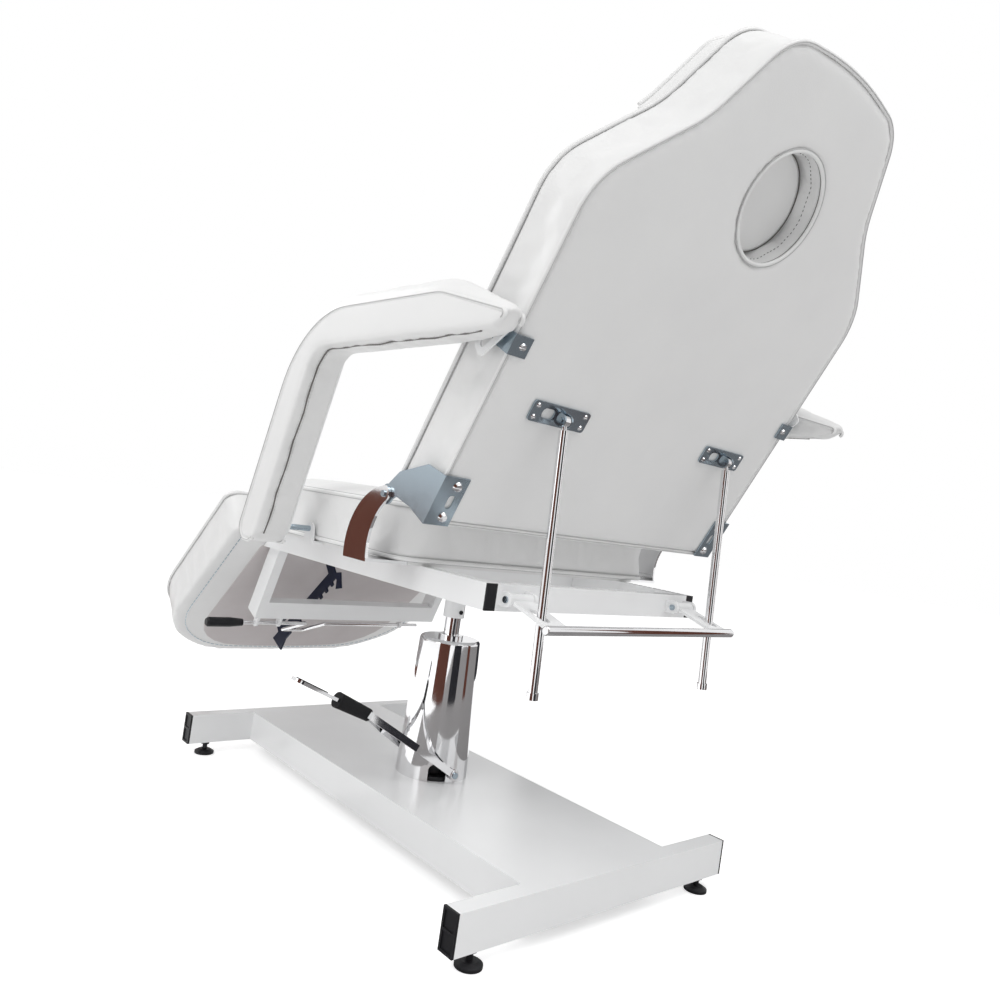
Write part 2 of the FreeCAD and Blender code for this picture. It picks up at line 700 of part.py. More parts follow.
def side_rail(side, rail_run):
    """A rail with a plugged rear end and a closed, mitred front end."""
    name = "side_rail_" + side_name(side)
    x = corner_x("rail_half_span", "rail_width", side)
    outer = box(name + "_outer", ("rail_width", rail_run, "rail_height"), (x, "rail_front_y", "rail_bottom"))
    inner = box(name + "_bore", ("rail_width - 2 * tube_wall", rail_run, "rail_height - 2 * tube_wall"),
                (f"{x} + tube_wall", "rail_front_y", "rail_bottom + tube_wall"))
    mitres = []
    for word, setback in (("face", "0"), ("wall", "tube_wall * 1.4")):
        mitre = doc.addObject("Part::Box", f"{name}_mitre_{word}")
        mitre.Placement = Placement(Vector(), Rotation(Vector(1, 0, 0), size("rail_front_mitre")))
        bind(mitre, Length="rail_width + 2", Width="3 * rail_height", Height="2 * rail_height")
        bind(mitre, Placement__Base__x=f"{x} - 1", Placement__Base__y=f"rail_front_y + {setback}",
             Placement__Base__z="rail_bottom", Placement__Rotation__Angle="rail_front_mitre")
        mitres.append(mitre)
    shell = cut(name + "_shell", outer, mitres[0])
    hollow = cut(name + "_hollow", inner, mitres[1])
    return cut(name, shell, hollow)


def rail_cap(side):
    name = "rail_cap_" + side_name(side)
    x = corner_x("rail_half_span", "rail_width", side)
    face = box(name + "_face", ("rail_width", "rail_cap_thickness", "rail_height"),
               (x, "rail_rear_y", "rail_bottom"))
    plug = box(name + "_plug", ("rail_width - 2 * tube_wall", "8", "rail_height - 2 * tube_wall"),
               (f"{x} + tube_wall", "rail_rear_y - 8", "rail_bottom + tube_wall"))
    return fuse(name, face, plug)


def make_saddle():
    """The folded plate under the frame and the socket that turns on the piston."""
    floor = box("saddle_floor", ("saddle_width", "saddle_length", "saddle_thickness"),
                ("-saddle_width / 2", "pump_axis_y - saddle_length / 2", "saddle_bottom"))
    walls = [box(f"saddle_wall_{side_name(side)}", ("saddle_thickness", "saddle_length", "saddle_height"),
                 (corner_x("saddle_width / 2", "saddle_thickness", side), "pump_axis_y - saddle_length / 2",
                  "saddle_bottom"))
             for side in (1, -1)]
    name_piece(fuse("mount_saddle", floor, *walls), "mount_saddle")
    sleeve = cylinder("socket_sleeve", "socket_radius", "socket_length", ("0", "pump_axis_y", "socket_bottom"))
    bore = cylinder("socket_bore", "piston_radius + running_gap", "socket_length + 1",
                    ("0", "pump_axis_y", "socket_bottom - 0.5"))
    screw_hole = cylinder("socket_screw_hole", "socket_screw_radius", "socket_radius + 1",
                          ("0", "pump_axis_y", "socket_bottom + 12"), Vector(0, 1, 0))
    name_piece(cut("piston_socket", sleeve, fuse("socket_bores", bore, screw_hole)), "piston_socket")
    screw_body = cylinder("socket_screw", "socket_screw_radius", "socket_radius - piston_radius + 2",
                          ("0", "pump_axis_y + piston_radius + 0.3", "socket_bottom + 12"), Vector(0, 1, 0))
    name_piece(screw_body, "socket_screw")


def drop_frame_place(x=0.0):
    """A frame at the foot of the drop legs: X across, Y to the rear, Z up along the legs."""
    lean = size("drop_lean")
    ahead = size("drop_length") * math.tan(math.radians(lean))
    foot = Vector(x, size("drop_root_y") - ahead, size("drop_end_height"))
    return Placement(foot, Rotation(Vector(1, 0, 0), -lean))


def make_drop_frame():
    """A U of flat tube under the front of the rails, leaning forward to carry the leg rest's latch."""
    depth, width = size("drop_depth"), size("drop_width")
    wall = size("tube_wall")
    half_span = size("drop_half_span")
    run = size("drop_length") / math.cos(math.radians(size("drop_lean"))) + depth
    above = Part.makeBox(2 * half_span, 2 * run, run,
                         Vector(-half_span, size("drop_root_y") - run, layout.rail_bottom))
    for side in (1, -1):
        solid = Part.makeBox(width, depth, run, Vector(-width / 2, -depth / 2, 0))
        bore = Part.makeBox(width - 2 * wall, depth - 2 * wall, run,
                            Vector(wall - width / 2, wall - depth / 2, wall))
        leg = solid.cut(bore)
        leg.Placement = drop_frame_place(side * (half_span - width / 2))
        name_piece(feature("drop_leg_" + side_name(side), leg.cut(above)), "drop_leg_" + side_name(side))
    reach = half_span - width
    solid = Part.makeBox(2 * reach, width, depth, Vector(-reach, depth / 2 - width, 0))
    bore = Part.makeBox(2 * reach, width - 2 * wall, depth - 2 * wall,
                        Vector(-reach, depth / 2 - width + wall, wall))
    name_piece(feature("drop_bar", solid.cut(bore), drop_frame_place()), "drop_bar")


# Seat


def seat_corners(inset=0.0):
    half = size("seat_half_width") - inset
    front = size("seat_front_y") + inset
    rear = size("seat_rear_y") - inset
    radius = size("seat_corner_radius") - inset / 2
    return [(-half, front, radius), (half, front, radius), (half, rear, radius), (-half, rear, radius)]


def make_seat():
    """The plywood board, let in for the steel feet below it, and the cushion on it."""
    inset = size("seat_board_inset")
    board = plate(seat_corners(inset), size("seat_board_thickness"))
    board.translate(Vector(0, 0, size("rail_top_height")))
    for foot in (horn_foot, lug_foot):
        for side in (1, -1):
            board = board.cut(foot(side, clearance=0.3))
    name_piece(feature("seat_board", board), "seat_board")
    stations = cushion_stations(size("seat_side_height"), size("seat_crown"), size("crown_run"))
    pad = cushion(seat_corners(), stations)
    name_piece(feature("seat_pad", pad, Placement(Vector(0, 0, layout.seat_board_top), Rotation())), "seat_pad")


def foot_plate(side, outer, front, rear, thickness, clearance):
    """A flat steel foot from a rail out to one side, lying on the rail's top."""
    inner = layout.rail_inner - clearance
    length = outer - inner
    corner_at = Vector(inner if side > 0 else -outer, front - clearance, size("rail_top_height"))
    return Part.makeBox(length, rear - front + 2 * clearance, thickness + clearance, corner_at)


def horn_foot(side, clearance=0.0):
    return foot_plate(side, size("horn_outer"), size("horn_root_front"), size("horn_root_rear"),
                      size("horn_thickness"), clearance)


def lug_foot(side, clearance=0.0):
    middle = layout.arm_pivot_place
    half = size("arm_lug_length") / 2
    return foot_plate(side, size("arm_lug_x") + size("arm_lug_thickness"), middle - half, middle + half,
                      size("arm_lug_thickness"), clearance)


# Backrest hinge and armrest lugs on the seat frame


def hinge_point():
    return Vector(0, layout.back_hinge_place, size("back_hinge_height"))


def make_horns():
    """The curved hinge arms: a flat foot under the seat and a horn that sweeps back to the hinge pin."""
    pin = size("pin_radius")
    tip = size("horn_tip_radius")
    foot_z = size("rail_top_height")
    hinge = hinge_point()
    front, rear = size("horn_root_front"), size("horn_root_rear")

    def around(angle):
        turn = math.radians(angle)
        return Vector(0, hinge.y + tip * math.cos(turn), hinge.z + tip * math.sin(turn))

    rise = hinge.z - foot_z
    front_foot, rear_foot = Vector(0, front, foot_z), Vector(0, rear, foot_z)
    front_bulge = Vector(0, front + 0.22 * (hinge.y - front), foot_z + 0.74 * rise)
    rear_bulge = Vector(0, rear + 1.0, foot_z + 0.5 * rise)
    edges = [Part.LineSegment(front_foot, rear_foot).toShape(),
             Part.Arc(rear_foot, rear_bulge, around(-62)).toShape(),
             Part.Arc(around(-62), around(30), around(118)).toShape(),
             Part.Arc(around(118), front_bulge, front_foot).toShape()]
    blade_face = Part.Face(Part.Wire(edges))
    thickness = size("horn_thickness")
    for side in (1, -1):
        near = layout.horn_inner if side > 0 else -layout.horn_inner - thickness
        blade = blade_face.extrude(Vector(thickness, 0, 0))
        blade.translate(Vector(near, 0, 0))
        horn = blade.fuse(horn_foot(side))
        hole = Part.makeCylinder(pin, 2 * thickness + 2, Vector(near - 1, hinge.y, hinge.z), Vector(1, 0, 0))
        name_piece(feature("hinge_horn_" + side_name(side), horn.cut(hole).removeSplitter()),
                   "hinge_horn_" + side_name(side))


def make_arm_lugs():
    """Upright lugs on the rails that carry the armrest pins."""
    lugs = []
    thickness = size("arm_lug_thickness")
    half = size("arm_lug_length") / 2
    pivot = Vector(0, layout.arm_pivot_place, size("arm_pivot_height"))
    base = size("rail_top_height")
    top_radius = size("pin_radius") + 6
    for side in (1, -1):
        near = size("arm_lug_x") if side > 0 else -size("arm_lug_x") - thickness
        corners = [(pivot.y - half, base, 3), (pivot.y + half, base, 3),
                   (pivot.y + top_radius, pivot.z + top_radius, top_radius - 1),
                   (pivot.y - top_radius, pivot.z + top_radius, top_radius - 1)]
        upright = plate(corners, thickness)
        upright.Placement = yz_frame(near, 0, 0)
        hole = Part.makeCylinder(size("pin_radius"), 3 * thickness, Vector(near - thickness, pivot.y, pivot.z),
                                 Vector(1, 0, 0))
        lugs.append(upright.fuse(lug_foot(side)).cut(hole).removeSplitter())
    name_piece(feature("armrest_lugs", Part.makeCompound(lugs)), "armrest_lugs")


def make_pivot_pins():
    """The steel pins held by the seat frame: backrest hinge, armrests, release plates and leg rest."""
    pins = []
    cap = 2.5

    def pin(start_x, end_x, y, z, radius):
        low, high = min(start_x, end_x), max(start_x, end_x)
        pins.append(Part.makeCylinder(radius, high - low, Vector(low, y, z), Vector(1, 0, 0)))

    hinge = hinge_point()
    radius = size("pin_radius")
    half = size("release_plate_width") / 2 + size("side_gap") + size("release_lug_thickness") + cap
    for side in (1, -1):
        pin(side * (layout.bracket_inner + 0.2), side * (size("horn_outer") + cap), hinge.y, hinge.z, radius)
        pin(side * (size("arm_lug_x") - 1), side * (size("arm_inner") - 0.5),
            layout.arm_pivot_place, size("arm_pivot_height"), radius)
        middle = size("release_plate_x")
        pin(side * (middle - half), side * (middle + half), layout.release_pivot_y, layout.release_pivot_z, radius)
        outer = layout.rail_inner
        inner = outer - size("leg_lug_thickness") - size("side_gap") - size("leg_strap_thickness") - cap
        pin(side * inner, side * outer, layout.leg_hinge_place, size("leg_hinge_height"), size("leg_pin_radius"))
    name_piece(feature("pivot_pins", Part.makeCompound(pins)), "pivot_pins")


# Backrest. Its own frame has X across, Y up the slope from the hinge and Z forward, out of the padded face


def back_frame():
    lean = math.radians(size("back_lean"))
    up = Vector(0, math.sin(lean), math.cos(lean))
    forward = Vector(0, -math.cos(lean), math.sin(lean))
    hinge = hinge_point()
    back = hinge - forward * size("back_thickness")
    return Placement(back, Rotation(Vector(1, 0, 0), up, forward, "XYZ"))


def back_corners(inset=0.0):
    """Outline of the backrest: straight sides, rounded shoulders, a waist and a rounded head."""
    low = size("back_edge_above_hinge")
    right = [(size("back_half_width"), 0, size("back_corner_radius")),
             (size("back_half_width"), size("shoulder_height"), size("shoulder_radius")),
             (size("neck_half_width"), size("neck_height"), size("neck_radius")),
             (size("head_half_width"), size("head_height"), size("head_radius"))]
    crest = [(0, size("crest_height"), size("crest_radius"))]
    left = [(-x, y, radius) for x, y, radius in reversed(right)]
    corners = [(x, y + low, radius) for x, y, radius in right + crest + left]
    if not inset:
        return corners
    moved = offset_corners(corners, inset)
    return [(x, y, max(corner[2] - inset, 6) if turn > 0 else corner[2] + inset)
            for (x, y, turn), corner in zip(moved, corners)]


def face_hole_centre(height=0.0):
    return Vector(0, size("back_edge_above_hinge") + size("face_hole_height"), height)


def make_backrest():
    place = back_frame()
    thickness = size("back_thickness")
    board_thickness = size("back_board_thickness")
    hole = Part.makeCylinder(size("face_hole_radius"), 4 * thickness, face_hole_centre(-thickness))
    board = plate(back_corners(size("back_board_inset")), board_thickness).cut(hole)
    name_piece(feature("backrest_board", board, place), "backrest_board")
    stations = cushion_stations(thickness - board_thickness, size("back_crown"), 0.62 * size("head_half_width"))
    pad = cushion(back_corners(), stations)
    pad.translate(Vector(0, 0, board_thickness))
    name_piece(feature("backrest_pad", pad.cut(hole), place), "backrest_pad")
    make_head_pillow(place, pad)
    plug_radius = size("face_hole_radius") - size("face_plug_gap")
    plug_length = thickness + size("back_crown") - size("face_plug_recess")
    plug = Part.makeCylinder(plug_radius, plug_length, face_hole_centre(size("face_plug_recess")))
    plug = plug.makeFillet(8, [edge for edge in plug.Edges if len(edge.Vertexes) == 1])
    name_piece(feature("face_plug", plug, place), "face_plug")


def make_head_pillow(place, pad):
    """A crescent cushion that lies on the head of the backrest, open round the face hole."""
    face = size("back_thickness")
    top = face + size("back_crown")
    thickness = size("pillow_thickness")
    stations = [(face + 2, 0), (top, 0), (top + thickness * 0.55, 3), (top + thickness * 0.85, 12),
                (top + thickness, 30)]
    inset = size("pillow_inset")
    wires = [rounded_wire(back_corners(), inset + drawn, height) for height, drawn in stations]
    width = 2 * size("back_half_width")
    low = face_hole_centre().y + size("pillow_start")
    below = Part.makeBox(width, low, 2 * top, Vector(-width / 2, 0, 0))
    opening = Part.makeCylinder(size("face_hole_radius") + size("pillow_hole_gap"), 2 * top, face_hole_centre())
    pillow = Part.makeLoft(wires, True, True).cut(below).cut(opening).cut(pad)
    name_piece(feature("head_pillow", pillow, place), "head_pillow")


def make_back_brackets():
    place = back_frame()
    screws = []
    for side in (1, -1):
        name_piece(feature("hinge_bracket_" + side_name(side), hinge_bracket(side, screws), place),
                   "hinge_bracket_" + side_name(side))
    rods = [rod_bracket(side, screws) for side in (1, -1)]
    name_piece(feature("rod_brackets", Part.makeCompound(rods), place), "rod_brackets")
    arms = [arm_bracket(side, screws) for side in (1, -1)]
    name_piece(feature("armrest_brackets", Part.makeCompound(arms), place), "armrest_brackets")
    name_piece(feature("bracket_screws", Part.makeCompound(screws), place), "bracket_screws")


def side_plate(outline, side, thickness):
    """A plate on the backrest's side. The outline is (depth from the back face, height up the slope)."""
    near = layout.bracket_inner if side > 0 else -layout.bracket_outer
    points = [Vector(near, up, depth) for depth, up in outline]
    return Part.Face(Part.makePolygon(points + points[:1])).extrude(Vector(thickness, 0, 0))


def back_plate(side, width, low, high, thickness):
    """A flange lying on the back face, reaching in from the side plate."""
    outer = layout.bracket_outer
    start = outer - width if side > 0 else -outer
    return Part.makeBox(width, high - low, thickness, Vector(start, low, -thickness))


def screw(x, up, scale=1.0):
    """A domed screw whose head lies on a flange of the back face, with the hole it needs."""
    thickness = size("bracket_thickness")
    radius = size("screw_head_radius") * scale
    height = size("screw_head_height") * scale
    shank = size("screw_shank_radius") * scale
    head = Part.makeCone(radius, radius * 0.7, height, Vector(x, up, -thickness), Vector(0, 0, -1))
    slot = Part.makeBox(2 * radius, 1.6, 1.4, Vector(x - radius, up - 0.8, -thickness - height))
    stem = Part.makeCylinder(shank, thickness, Vector(x, up, -thickness))
    return head.cut(slot).fuse(stem).removeSplitter()


def fasten(flange, places, screws, scale=1.0):
    """Put screws through a flange."""
    for x, up in places:
        shank = size("screw_shank_radius") * scale + size("running_gap")
        flange = flange.cut(Part.makeCylinder(shank, 20, Vector(x, up, -10)))
        screws.append(screw(x, up, scale))
    return flange


def hinge_bracket(side, screws):
    """An angle on the backrest's lower corner: a pierced flange on its back and a wing out to the hinge pin."""
    thickness = size("bracket_thickness")
    depth = size("back_thickness")
    low, high = size("hinge_flange_low"), size("hinge_flange_high")
    lobe = size("horn_tip_radius") + 3
    outline = [(-thickness, low), (-thickness, high), (0.42 * depth, high - 8), (depth - 6, 0.45 * high),
               (depth + 0.6 * lobe, 8), (depth - 0.6 * lobe, -8), (depth - 22, 10), (0.4 * depth, low)]
    near = layout.bracket_inner if side > 0 else -layout.bracket_outer
    wing = side_plate(outline, side, thickness)
    wing = wing.fuse(Part.makeCylinder(lobe, thickness, Vector(near, 0, depth), Vector(1, 0, 0)))
    flange = back_plate(side, size("hinge_flange_width"), low, high, thickness)
    middle = side * (layout.bracket_outer - 0.62 * size("hinge_flange_width"))
    flange = fasten(flange, [(middle, low + 14), (middle, high - 14)], screws)
    centre = (low + high) / 2
    window = plate([(middle - 6, centre - 11, 5.5), (middle + 6, centre - 11, 5.5),
                    (middle + 6, centre + 11, 5.5), (middle - 6, centre + 11, 5.5)], 3 * thickness)
    window.translate(Vector(0, 0, -2 * thickness))
    hole = Part.makeCylinder(size("pin_radius") + size("running_gap"), 3 * thickness,
                             Vector(near - thickness, 0, depth), Vector(1, 0, 0))
    return wing.fuse(flange).cut(window).cut(hole).removeSplitter()


def rod_bracket(side, screws):
    """A plate with a bent pair of ears that holds a support rod's top pin."""
    thickness = size("bracket_thickness")
    up = size("rod_bracket_height")
    middle = side * size("rod_spread")
    half_length, half_width = size("rod_bracket_length") / 2, size("rod_bracket_width") / 2
    corners = [(middle - half_length, up - half_width, 4), (middle + half_length, up - half_width, 4),
               (middle + half_length, up + half_width, 4), (middle - half_length, up + half_width, 4)]
    base = plate(corners, thickness)
    base.translate(Vector(0, 0, -thickness))
    window_corners = [(middle + 12, up - 8, 7), (middle + 36, up - 8, 7), (middle + 36, up + 8, 7),
                      (middle + 12, up + 8, 7)]
    window = plate(window_corners, 3 * thickness)
    window.translate(Vector(0, 0, -2 * thickness))
    base = base.cut(window)
    places = [(middle + x, up + y) for x in (-48, 48) for y in (-9, 9)]
    base = fasten(base, places, screws, 0.5)
    stand_off = size("rod_pin_stand_off")
    pin = size("rod_pin_radius")
    inner = size("rod_eye_thickness") / 2 + size("side_gap")
    for way in (1, -1):
        start = middle + way * inner if way > 0 else middle - inner - thickness
        ear_corners = [(-9, 0, 1.5), (9, 0, 1.5), (9, stand_off + 8, 7), (-9, stand_off + 8, 7)]
        ear = plate(ear_corners, thickness)
        ear.Placement = Placement(Vector(start, up, -thickness),
                                  Rotation(Vector(0, 1, 0), Vector(0, 0, -1), Vector(-1, 0, 0), "XYZ"))
        ear.translate(Vector(thickness, 0, 0))
        base = base.fuse(ear)
    span = 2 * (inner + thickness) + 4
    pin_bar = Part.makeCylinder(pin, span, Vector(middle - span / 2, up, -thickness - stand_off), Vector(1, 0, 0))
    return base.fuse(pin_bar).removeSplitter()


def arm_bracket(side, screws):
    """An angle on the backrest's edge with the pin that carries the armrest's slotted tab."""
    thickness = size("bracket_thickness")
    up = size("arm_pin_up_slope")
    half = size("arm_flange_height") / 2
    pin_at = size("back_thickness") - size("arm_pin_depth")
    nose = pin_at + 14
    outline = [(-thickness, up - half), (-thickness, up + half), (nose - 8, up + half), (nose, up + 6),
               (nose, up - 6), (nose - 8, up - half)]
    wing = side_plate(outline, side, thickness)
    flange = back_plate(side, size("arm_flange_width"), up - half, up + half, thickness)
    flange = fasten(flange, [(side * (layout.bracket_outer - 20), up)], screws, 0.7)
    end = size("arm_inner") - 0.5
    start = layout.bracket_inner
    pin_x = start if side > 0 else -end
    pin = Part.makeCylinder(size("pin_radius"), end - start, Vector(pin_x, up, pin_at), Vector(1, 0, 0))
    return wing.fuse(flange).fuse(pin).removeSplitter()


# Support rods and release handle


def rod_pin_point():
    local = Vector(0, size("rod_bracket_height"), -size("bracket_thickness") - size("rod_pin_stand_off"))
    return back_frame().multVec(local)


def release_point(along, above=0.0):
    """A place on the release plates, measured back from their pivot and square to them."""
    drop = math.radians(size("release_drop_angle"))
    return Vector(0, layout.release_pivot_y + along * math.cos(drop) + above * math.sin(drop),
                  layout.release_pivot_z - along * math.sin(drop) + above * math.cos(drop))


def make_support_rods():
    """Two rods that hang from the backrest and pass through the release plates."""
    top = rod_pin_point()
    slot = release_point(size("release_slot_place"))
    down = (slot - top).normalize()
    rods = []
    eye = size("rod_eye_radius")
    eye_thickness = size("rod_eye_thickness")
    for side in (1, -1):
        x = side * size("rod_spread")
        head = Part.makeCylinder(eye, eye_thickness, Vector(x - eye_thickness / 2, top.y, top.z), Vector(1, 0, 0))
        shank_start = Vector(x, top.y, top.z) + down * (eye + 6)
        bar = Part.makeCylinder(size("rod_radius"), size("rod_length") - eye - 6, shank_start, down)
        neck = Part.makeCylinder(0.8 * eye_thickness / 2, eye + 8, Vector(x, top.y, top.z), down)
        foot = Vector(x, top.y, top.z) + down * size("rod_length")
        stop = Part.makeCylinder(size("rod_stop_radius"), size("rod_stop_height"), foot, down)
        hole = Part.makeCylinder(size("rod_pin_radius") + size("running_gap"), 40, Vector(x - 20, top.y, top.z),
                                 Vector(1, 0, 0))
        rods.append(bar.fuse(neck).fuse(head).fuse(stop).cut(hole).removeSplitter())
    for side, rod in zip((1, -1), rods):
        name_piece(feature("support_rod_" + side_name(side), rod), "support_rod_" + side_name(side))


def release_frame(x):
    """A frame on the release plates: X across, Y back along the plate, Z square to it."""
    back = (release_point(1) - release_point(0)).normalize()
    over = (release_point(0, 1) - release_point(0)).normalize()
    return Placement(Vector(x, layout.release_pivot_y, layout.release_pivot_z),
                     Rotation(Vector(1, 0, 0), back, over, "XYZ"))


def make_release_handle():
    thickness = size("release_plate_thickness")
    half = size("release_plate_width") / 2
    length = size("release_plate_length")
    bar_radius = size("release_bar_radius")
    slot_half = size("rod_radius") + size("release_slot_gap")
    slot_middle = size("release_slot_place") + size("release_slot_shift")
    slot_low, slot_high = (slot_middle + way * size("release_slot_length") / 2 for way in (-1, 1))
    eye = size("release_lug_radius") - 2
    plates = []
    for side in (1, -1):
        corners = [(-half, -2, 1), (half, -2, 1), (half, length, 6), (-half, length, 6)]
        flat = plate(corners, thickness)
        flat.translate(Vector(0, 0, -thickness / 2))
        knuckle = Part.makeCylinder(eye, 2 * half, Vector(-half, 0, 0), Vector(1, 0, 0))
        slot_x = side * (size("rod_spread") - size("release_plate_x"))
        slot_end = slot_half - 0.2
        slot = plate([(slot_x - slot_half, slot_low, slot_end), (slot_x + slot_half, slot_low, slot_end),
                      (slot_x + slot_half, slot_high, slot_end), (slot_x - slot_half, slot_high, slot_end)],
                     6 * thickness)
        slot.translate(Vector(0, 0, -3 * thickness))
        bore = Part.makeCylinder(size("pin_radius") + size("running_gap"), 4 * half, Vector(-2 * half, 0, 0),
                                 Vector(1, 0, 0))
        bar_seat = Part.makeCylinder(bar_radius, 4 * half, Vector(-2 * half, length, 0), Vector(1, 0, 0))
        solid = flat.fuse(knuckle).cut(slot).cut(bore).cut(bar_seat).removeSplitter()
        solid.Placement = release_frame(side * size("release_plate_x"))
        plates.append(solid)
    name_piece(feature("release_plates", Part.makeCompound(plates)), "release_plates")
    reach = size("release_bar_half_length")
    bar = Part.makeCylinder(bar_radius, 2 * reach, Vector(-reach, length, 0), Vector(1, 0, 0))
    bar = bar.makeFillet(2, [edge for edge in bar.Edges if len(edge.Vertexes) == 1])
    name_piece(feature("release_bar", bar, release_frame(0)), "release_bar")
    make_release_lugs()


def make_release_lugs():
    """Pairs of ears behind the rear crossmember that hold the release plates' pins."""
    thickness = size("release_lug_thickness")
    radius = size("release_lug_radius")
    wall_y = layout.rail_rear_y + size("rail_cap_thickness")
    pivot = Vector(0, layout.release_pivot_y, layout.release_pivot_z)
    inner = size("release_plate_width") / 2 + size("side_gap")
    lugs = []
    for side in (1, -1):
        for way in (1, -1):
            near = side * size("release_plate_x") + (inner if way > 0 else -inner - thickness)
            web = Part.makeBox(thickness, pivot.y - wall_y, 2 * radius, Vector(near, wall_y, pivot.z - radius))
            ear = Part.makeCylinder(radius, thickness, Vector(near, pivot.y, pivot.z), Vector(1, 0, 0))
            hole = Part.makeCylinder(size("pin_radius"), 3 * thickness, Vector(near - thickness, pivot.y, pivot.z),
                                     Vector(1, 0, 0))
            lugs.append(web.fuse(ear).cut(hole).removeSplitter())
    name_piece(feature("release_lugs", Part.makeCompound(lugs)), "release_lugs")


# Armrests, drawn in the fore-and-aft plane


def arm_post(offset, height):
    """Fore-and-aft place of a line on the leaning post, by its offset at the pivot's height."""
    lean = math.tan(math.radians(size("arm_post_lean")))
    return layout.arm_pivot_place + offset + lean * (height - size("arm_pivot_height"))


def arm_corners(rise=0.0):
    """Side outline of an armrest pad: a leaning post, a level arm and a thin tip. The rise domes its top."""
    foot, under = size("arm_post_foot"), size("arm_under")
    top = under + size("arm_depth") + rise
    tip = size("pump_axis_y") + size("arm_tip_y")
    lift = size("arm_tip_lift")
    front = -0.63 * size("arm_post_width")
    rear = front + size("arm_post_width")
    return [(arm_post(front, foot), foot, 24), (arm_post(rear, foot), foot, 24),
            (arm_post(rear, under), under, 50), (tip - 1.8 * lift, under + 0.25 * lift, 8),
            (tip, under + lift + 0.3 * rise, 6), (tip - 7.7 * lift, top, 110),
            (arm_post(front, top), top, 180)]


def arm_plan(side):
    """The armrest seen from above: its inner side is drawn away from the backrest towards the tip."""
    inner, width = size("arm_inner"), size("arm_width")
    tip = size("pump_axis_y") + size("arm_tip_y")
    clear = 1.0
    height = 2 * size("arm_under")
    corners = [(inner - clear, -tip, 5), (inner + width + clear, -tip, 5), (inner + width + clear, tip, 12),
               (inner + 0.58 * width, tip, 14), (inner - clear, tip - size("arm_tip_taper"), 90)]
    if side < 0:
        corners = [(-x, y, radius) for x, y, radius in reversed(corners)]
    return plate(corners, height)


def arm_pin_point():
    local = Vector(0, size("arm_pin_up_slope"), size("back_thickness") - size("arm_pin_depth"))
    return back_frame().multVec(local)


def arm_frame(side):
    """The flat steel frame on an armrest's inner side: pivot hole below, slot for the backrest's pin above."""
    pivot = Vector(0, layout.arm_pivot_place, size("arm_pivot_height"))
    pin = arm_pin_point()
    angle = math.degrees(math.atan2(pin.z - pivot.z, pin.y - pivot.y))
    slot_half = size("pin_radius") + size("arm_slot_gap")
    inward, outward = size("arm_slot_inward") + slot_half, size("arm_slot_outward") + slot_half
    margin = size("arm_frame_margin")
    thickness = size("arm_frame_thickness")
    rim = slot_half + margin
    tab = plate([(-inward - margin, -rim, 9), (outward + margin, -rim, 9), (outward + margin, rim, 9),
                 (-inward - margin, rim, 9)], thickness)
    slot = plate([(-inward, -slot_half, slot_half - 0.2), (outward, -slot_half, slot_half - 0.2),
                  (outward, slot_half, slot_half - 0.2), (-inward, slot_half, slot_half - 0.2)], 4 * thickness)
    slot.translate(Vector(0, 0, -thickness))
    for piece in (tab, slot):
        piece.Placement = yz_frame(0, pin.y, pin.z, angle).multiply(piece.Placement)
    half = 14.0
    foot, low, high = pivot.z - half, pin.z - 0.6 * half, pin.z + 1.4 * half
    strip = plate([(arm_post(-half, foot), foot, 11), (arm_post(half, foot), foot, 11),
                   (arm_post(half, low), low, 20), (pin.y, low, 6), (pin.y, high, 6),
                   (arm_post(-half, high), high, 30)], thickness)
    strip.Placement = yz_frame(0, 0, 0)
    hole = Part.makeCylinder(size("pin_radius") + size("running_gap"), 4 * thickness,
                             Vector(-thickness, pivot.y, pivot.z), Vector(1, 0, 0))
    frame = tab.fuse(strip).cut(slot).cut(hole).removeSplitter()
    frame.translate(Vector(size("arm_inner") - thickness if side > 0 else -size("arm_inner"), 0, 0))
    return frame


def make_armrests():
    width = size("arm_width")
    dome = size("arm_dome")
    edge = 4.0
    stations = [(0, 3, 0), (edge, 0, 0.12), (width * 0.22, 0, 0.7), (width * 0.5, 0, 1), (width * 0.78, 0, 0.7),
                (width - edge, 0, 0.12), (width, 3, 0)]
    for side in (1, -1):
        wires = [rounded_wire(arm_corners(share * dome), inset, across) for across, inset, share in stations]
        pad = Part.makeLoft(wires, True, True)
        pad.Placement = yz_frame(size("arm_inner") if side > 0 else -size("arm_inner") - width, 0, 0)
        name_piece(feature("armrest_pad_" + side_name(side), pad.common(arm_plan(side))),
                   "armrest_pad_" + side_name(side))
        name_piece(feature("armrest_frame_" + side_name(side), arm_frame(side)),
                   "armrest_frame_" + side_name(side))


# Leg rest. Its own frame has X across, Y along the rest from the hinge and Z up out of the padded face


def leg_frame():
    drop = math.radians(size("leg_drop_angle"))
    along = Vector(0, -math.cos(drop), -math.sin(drop))
    over = Vector(0, -math.sin(drop), math.cos(drop))
    hinge = Vector(0, layout.leg_hinge_place, size("leg_hinge_height"))
    return Placement(hinge, Rotation(Vector(-1, 0, 0), along, over, "XYZ"))


def leg_corners(inset=0.0):
    half = size("leg_half_width") - inset
    start, end = size("leg_start") + inset, size("leg_end") - inset
    lower, upper = size("leg_corner_radius") - inset, 26 - inset / 2
    return [(-half, start, upper), (half, start, upper), (half, end, lower), (0, end + size("leg_bow"), 1200),
            (-half, end, lower)]


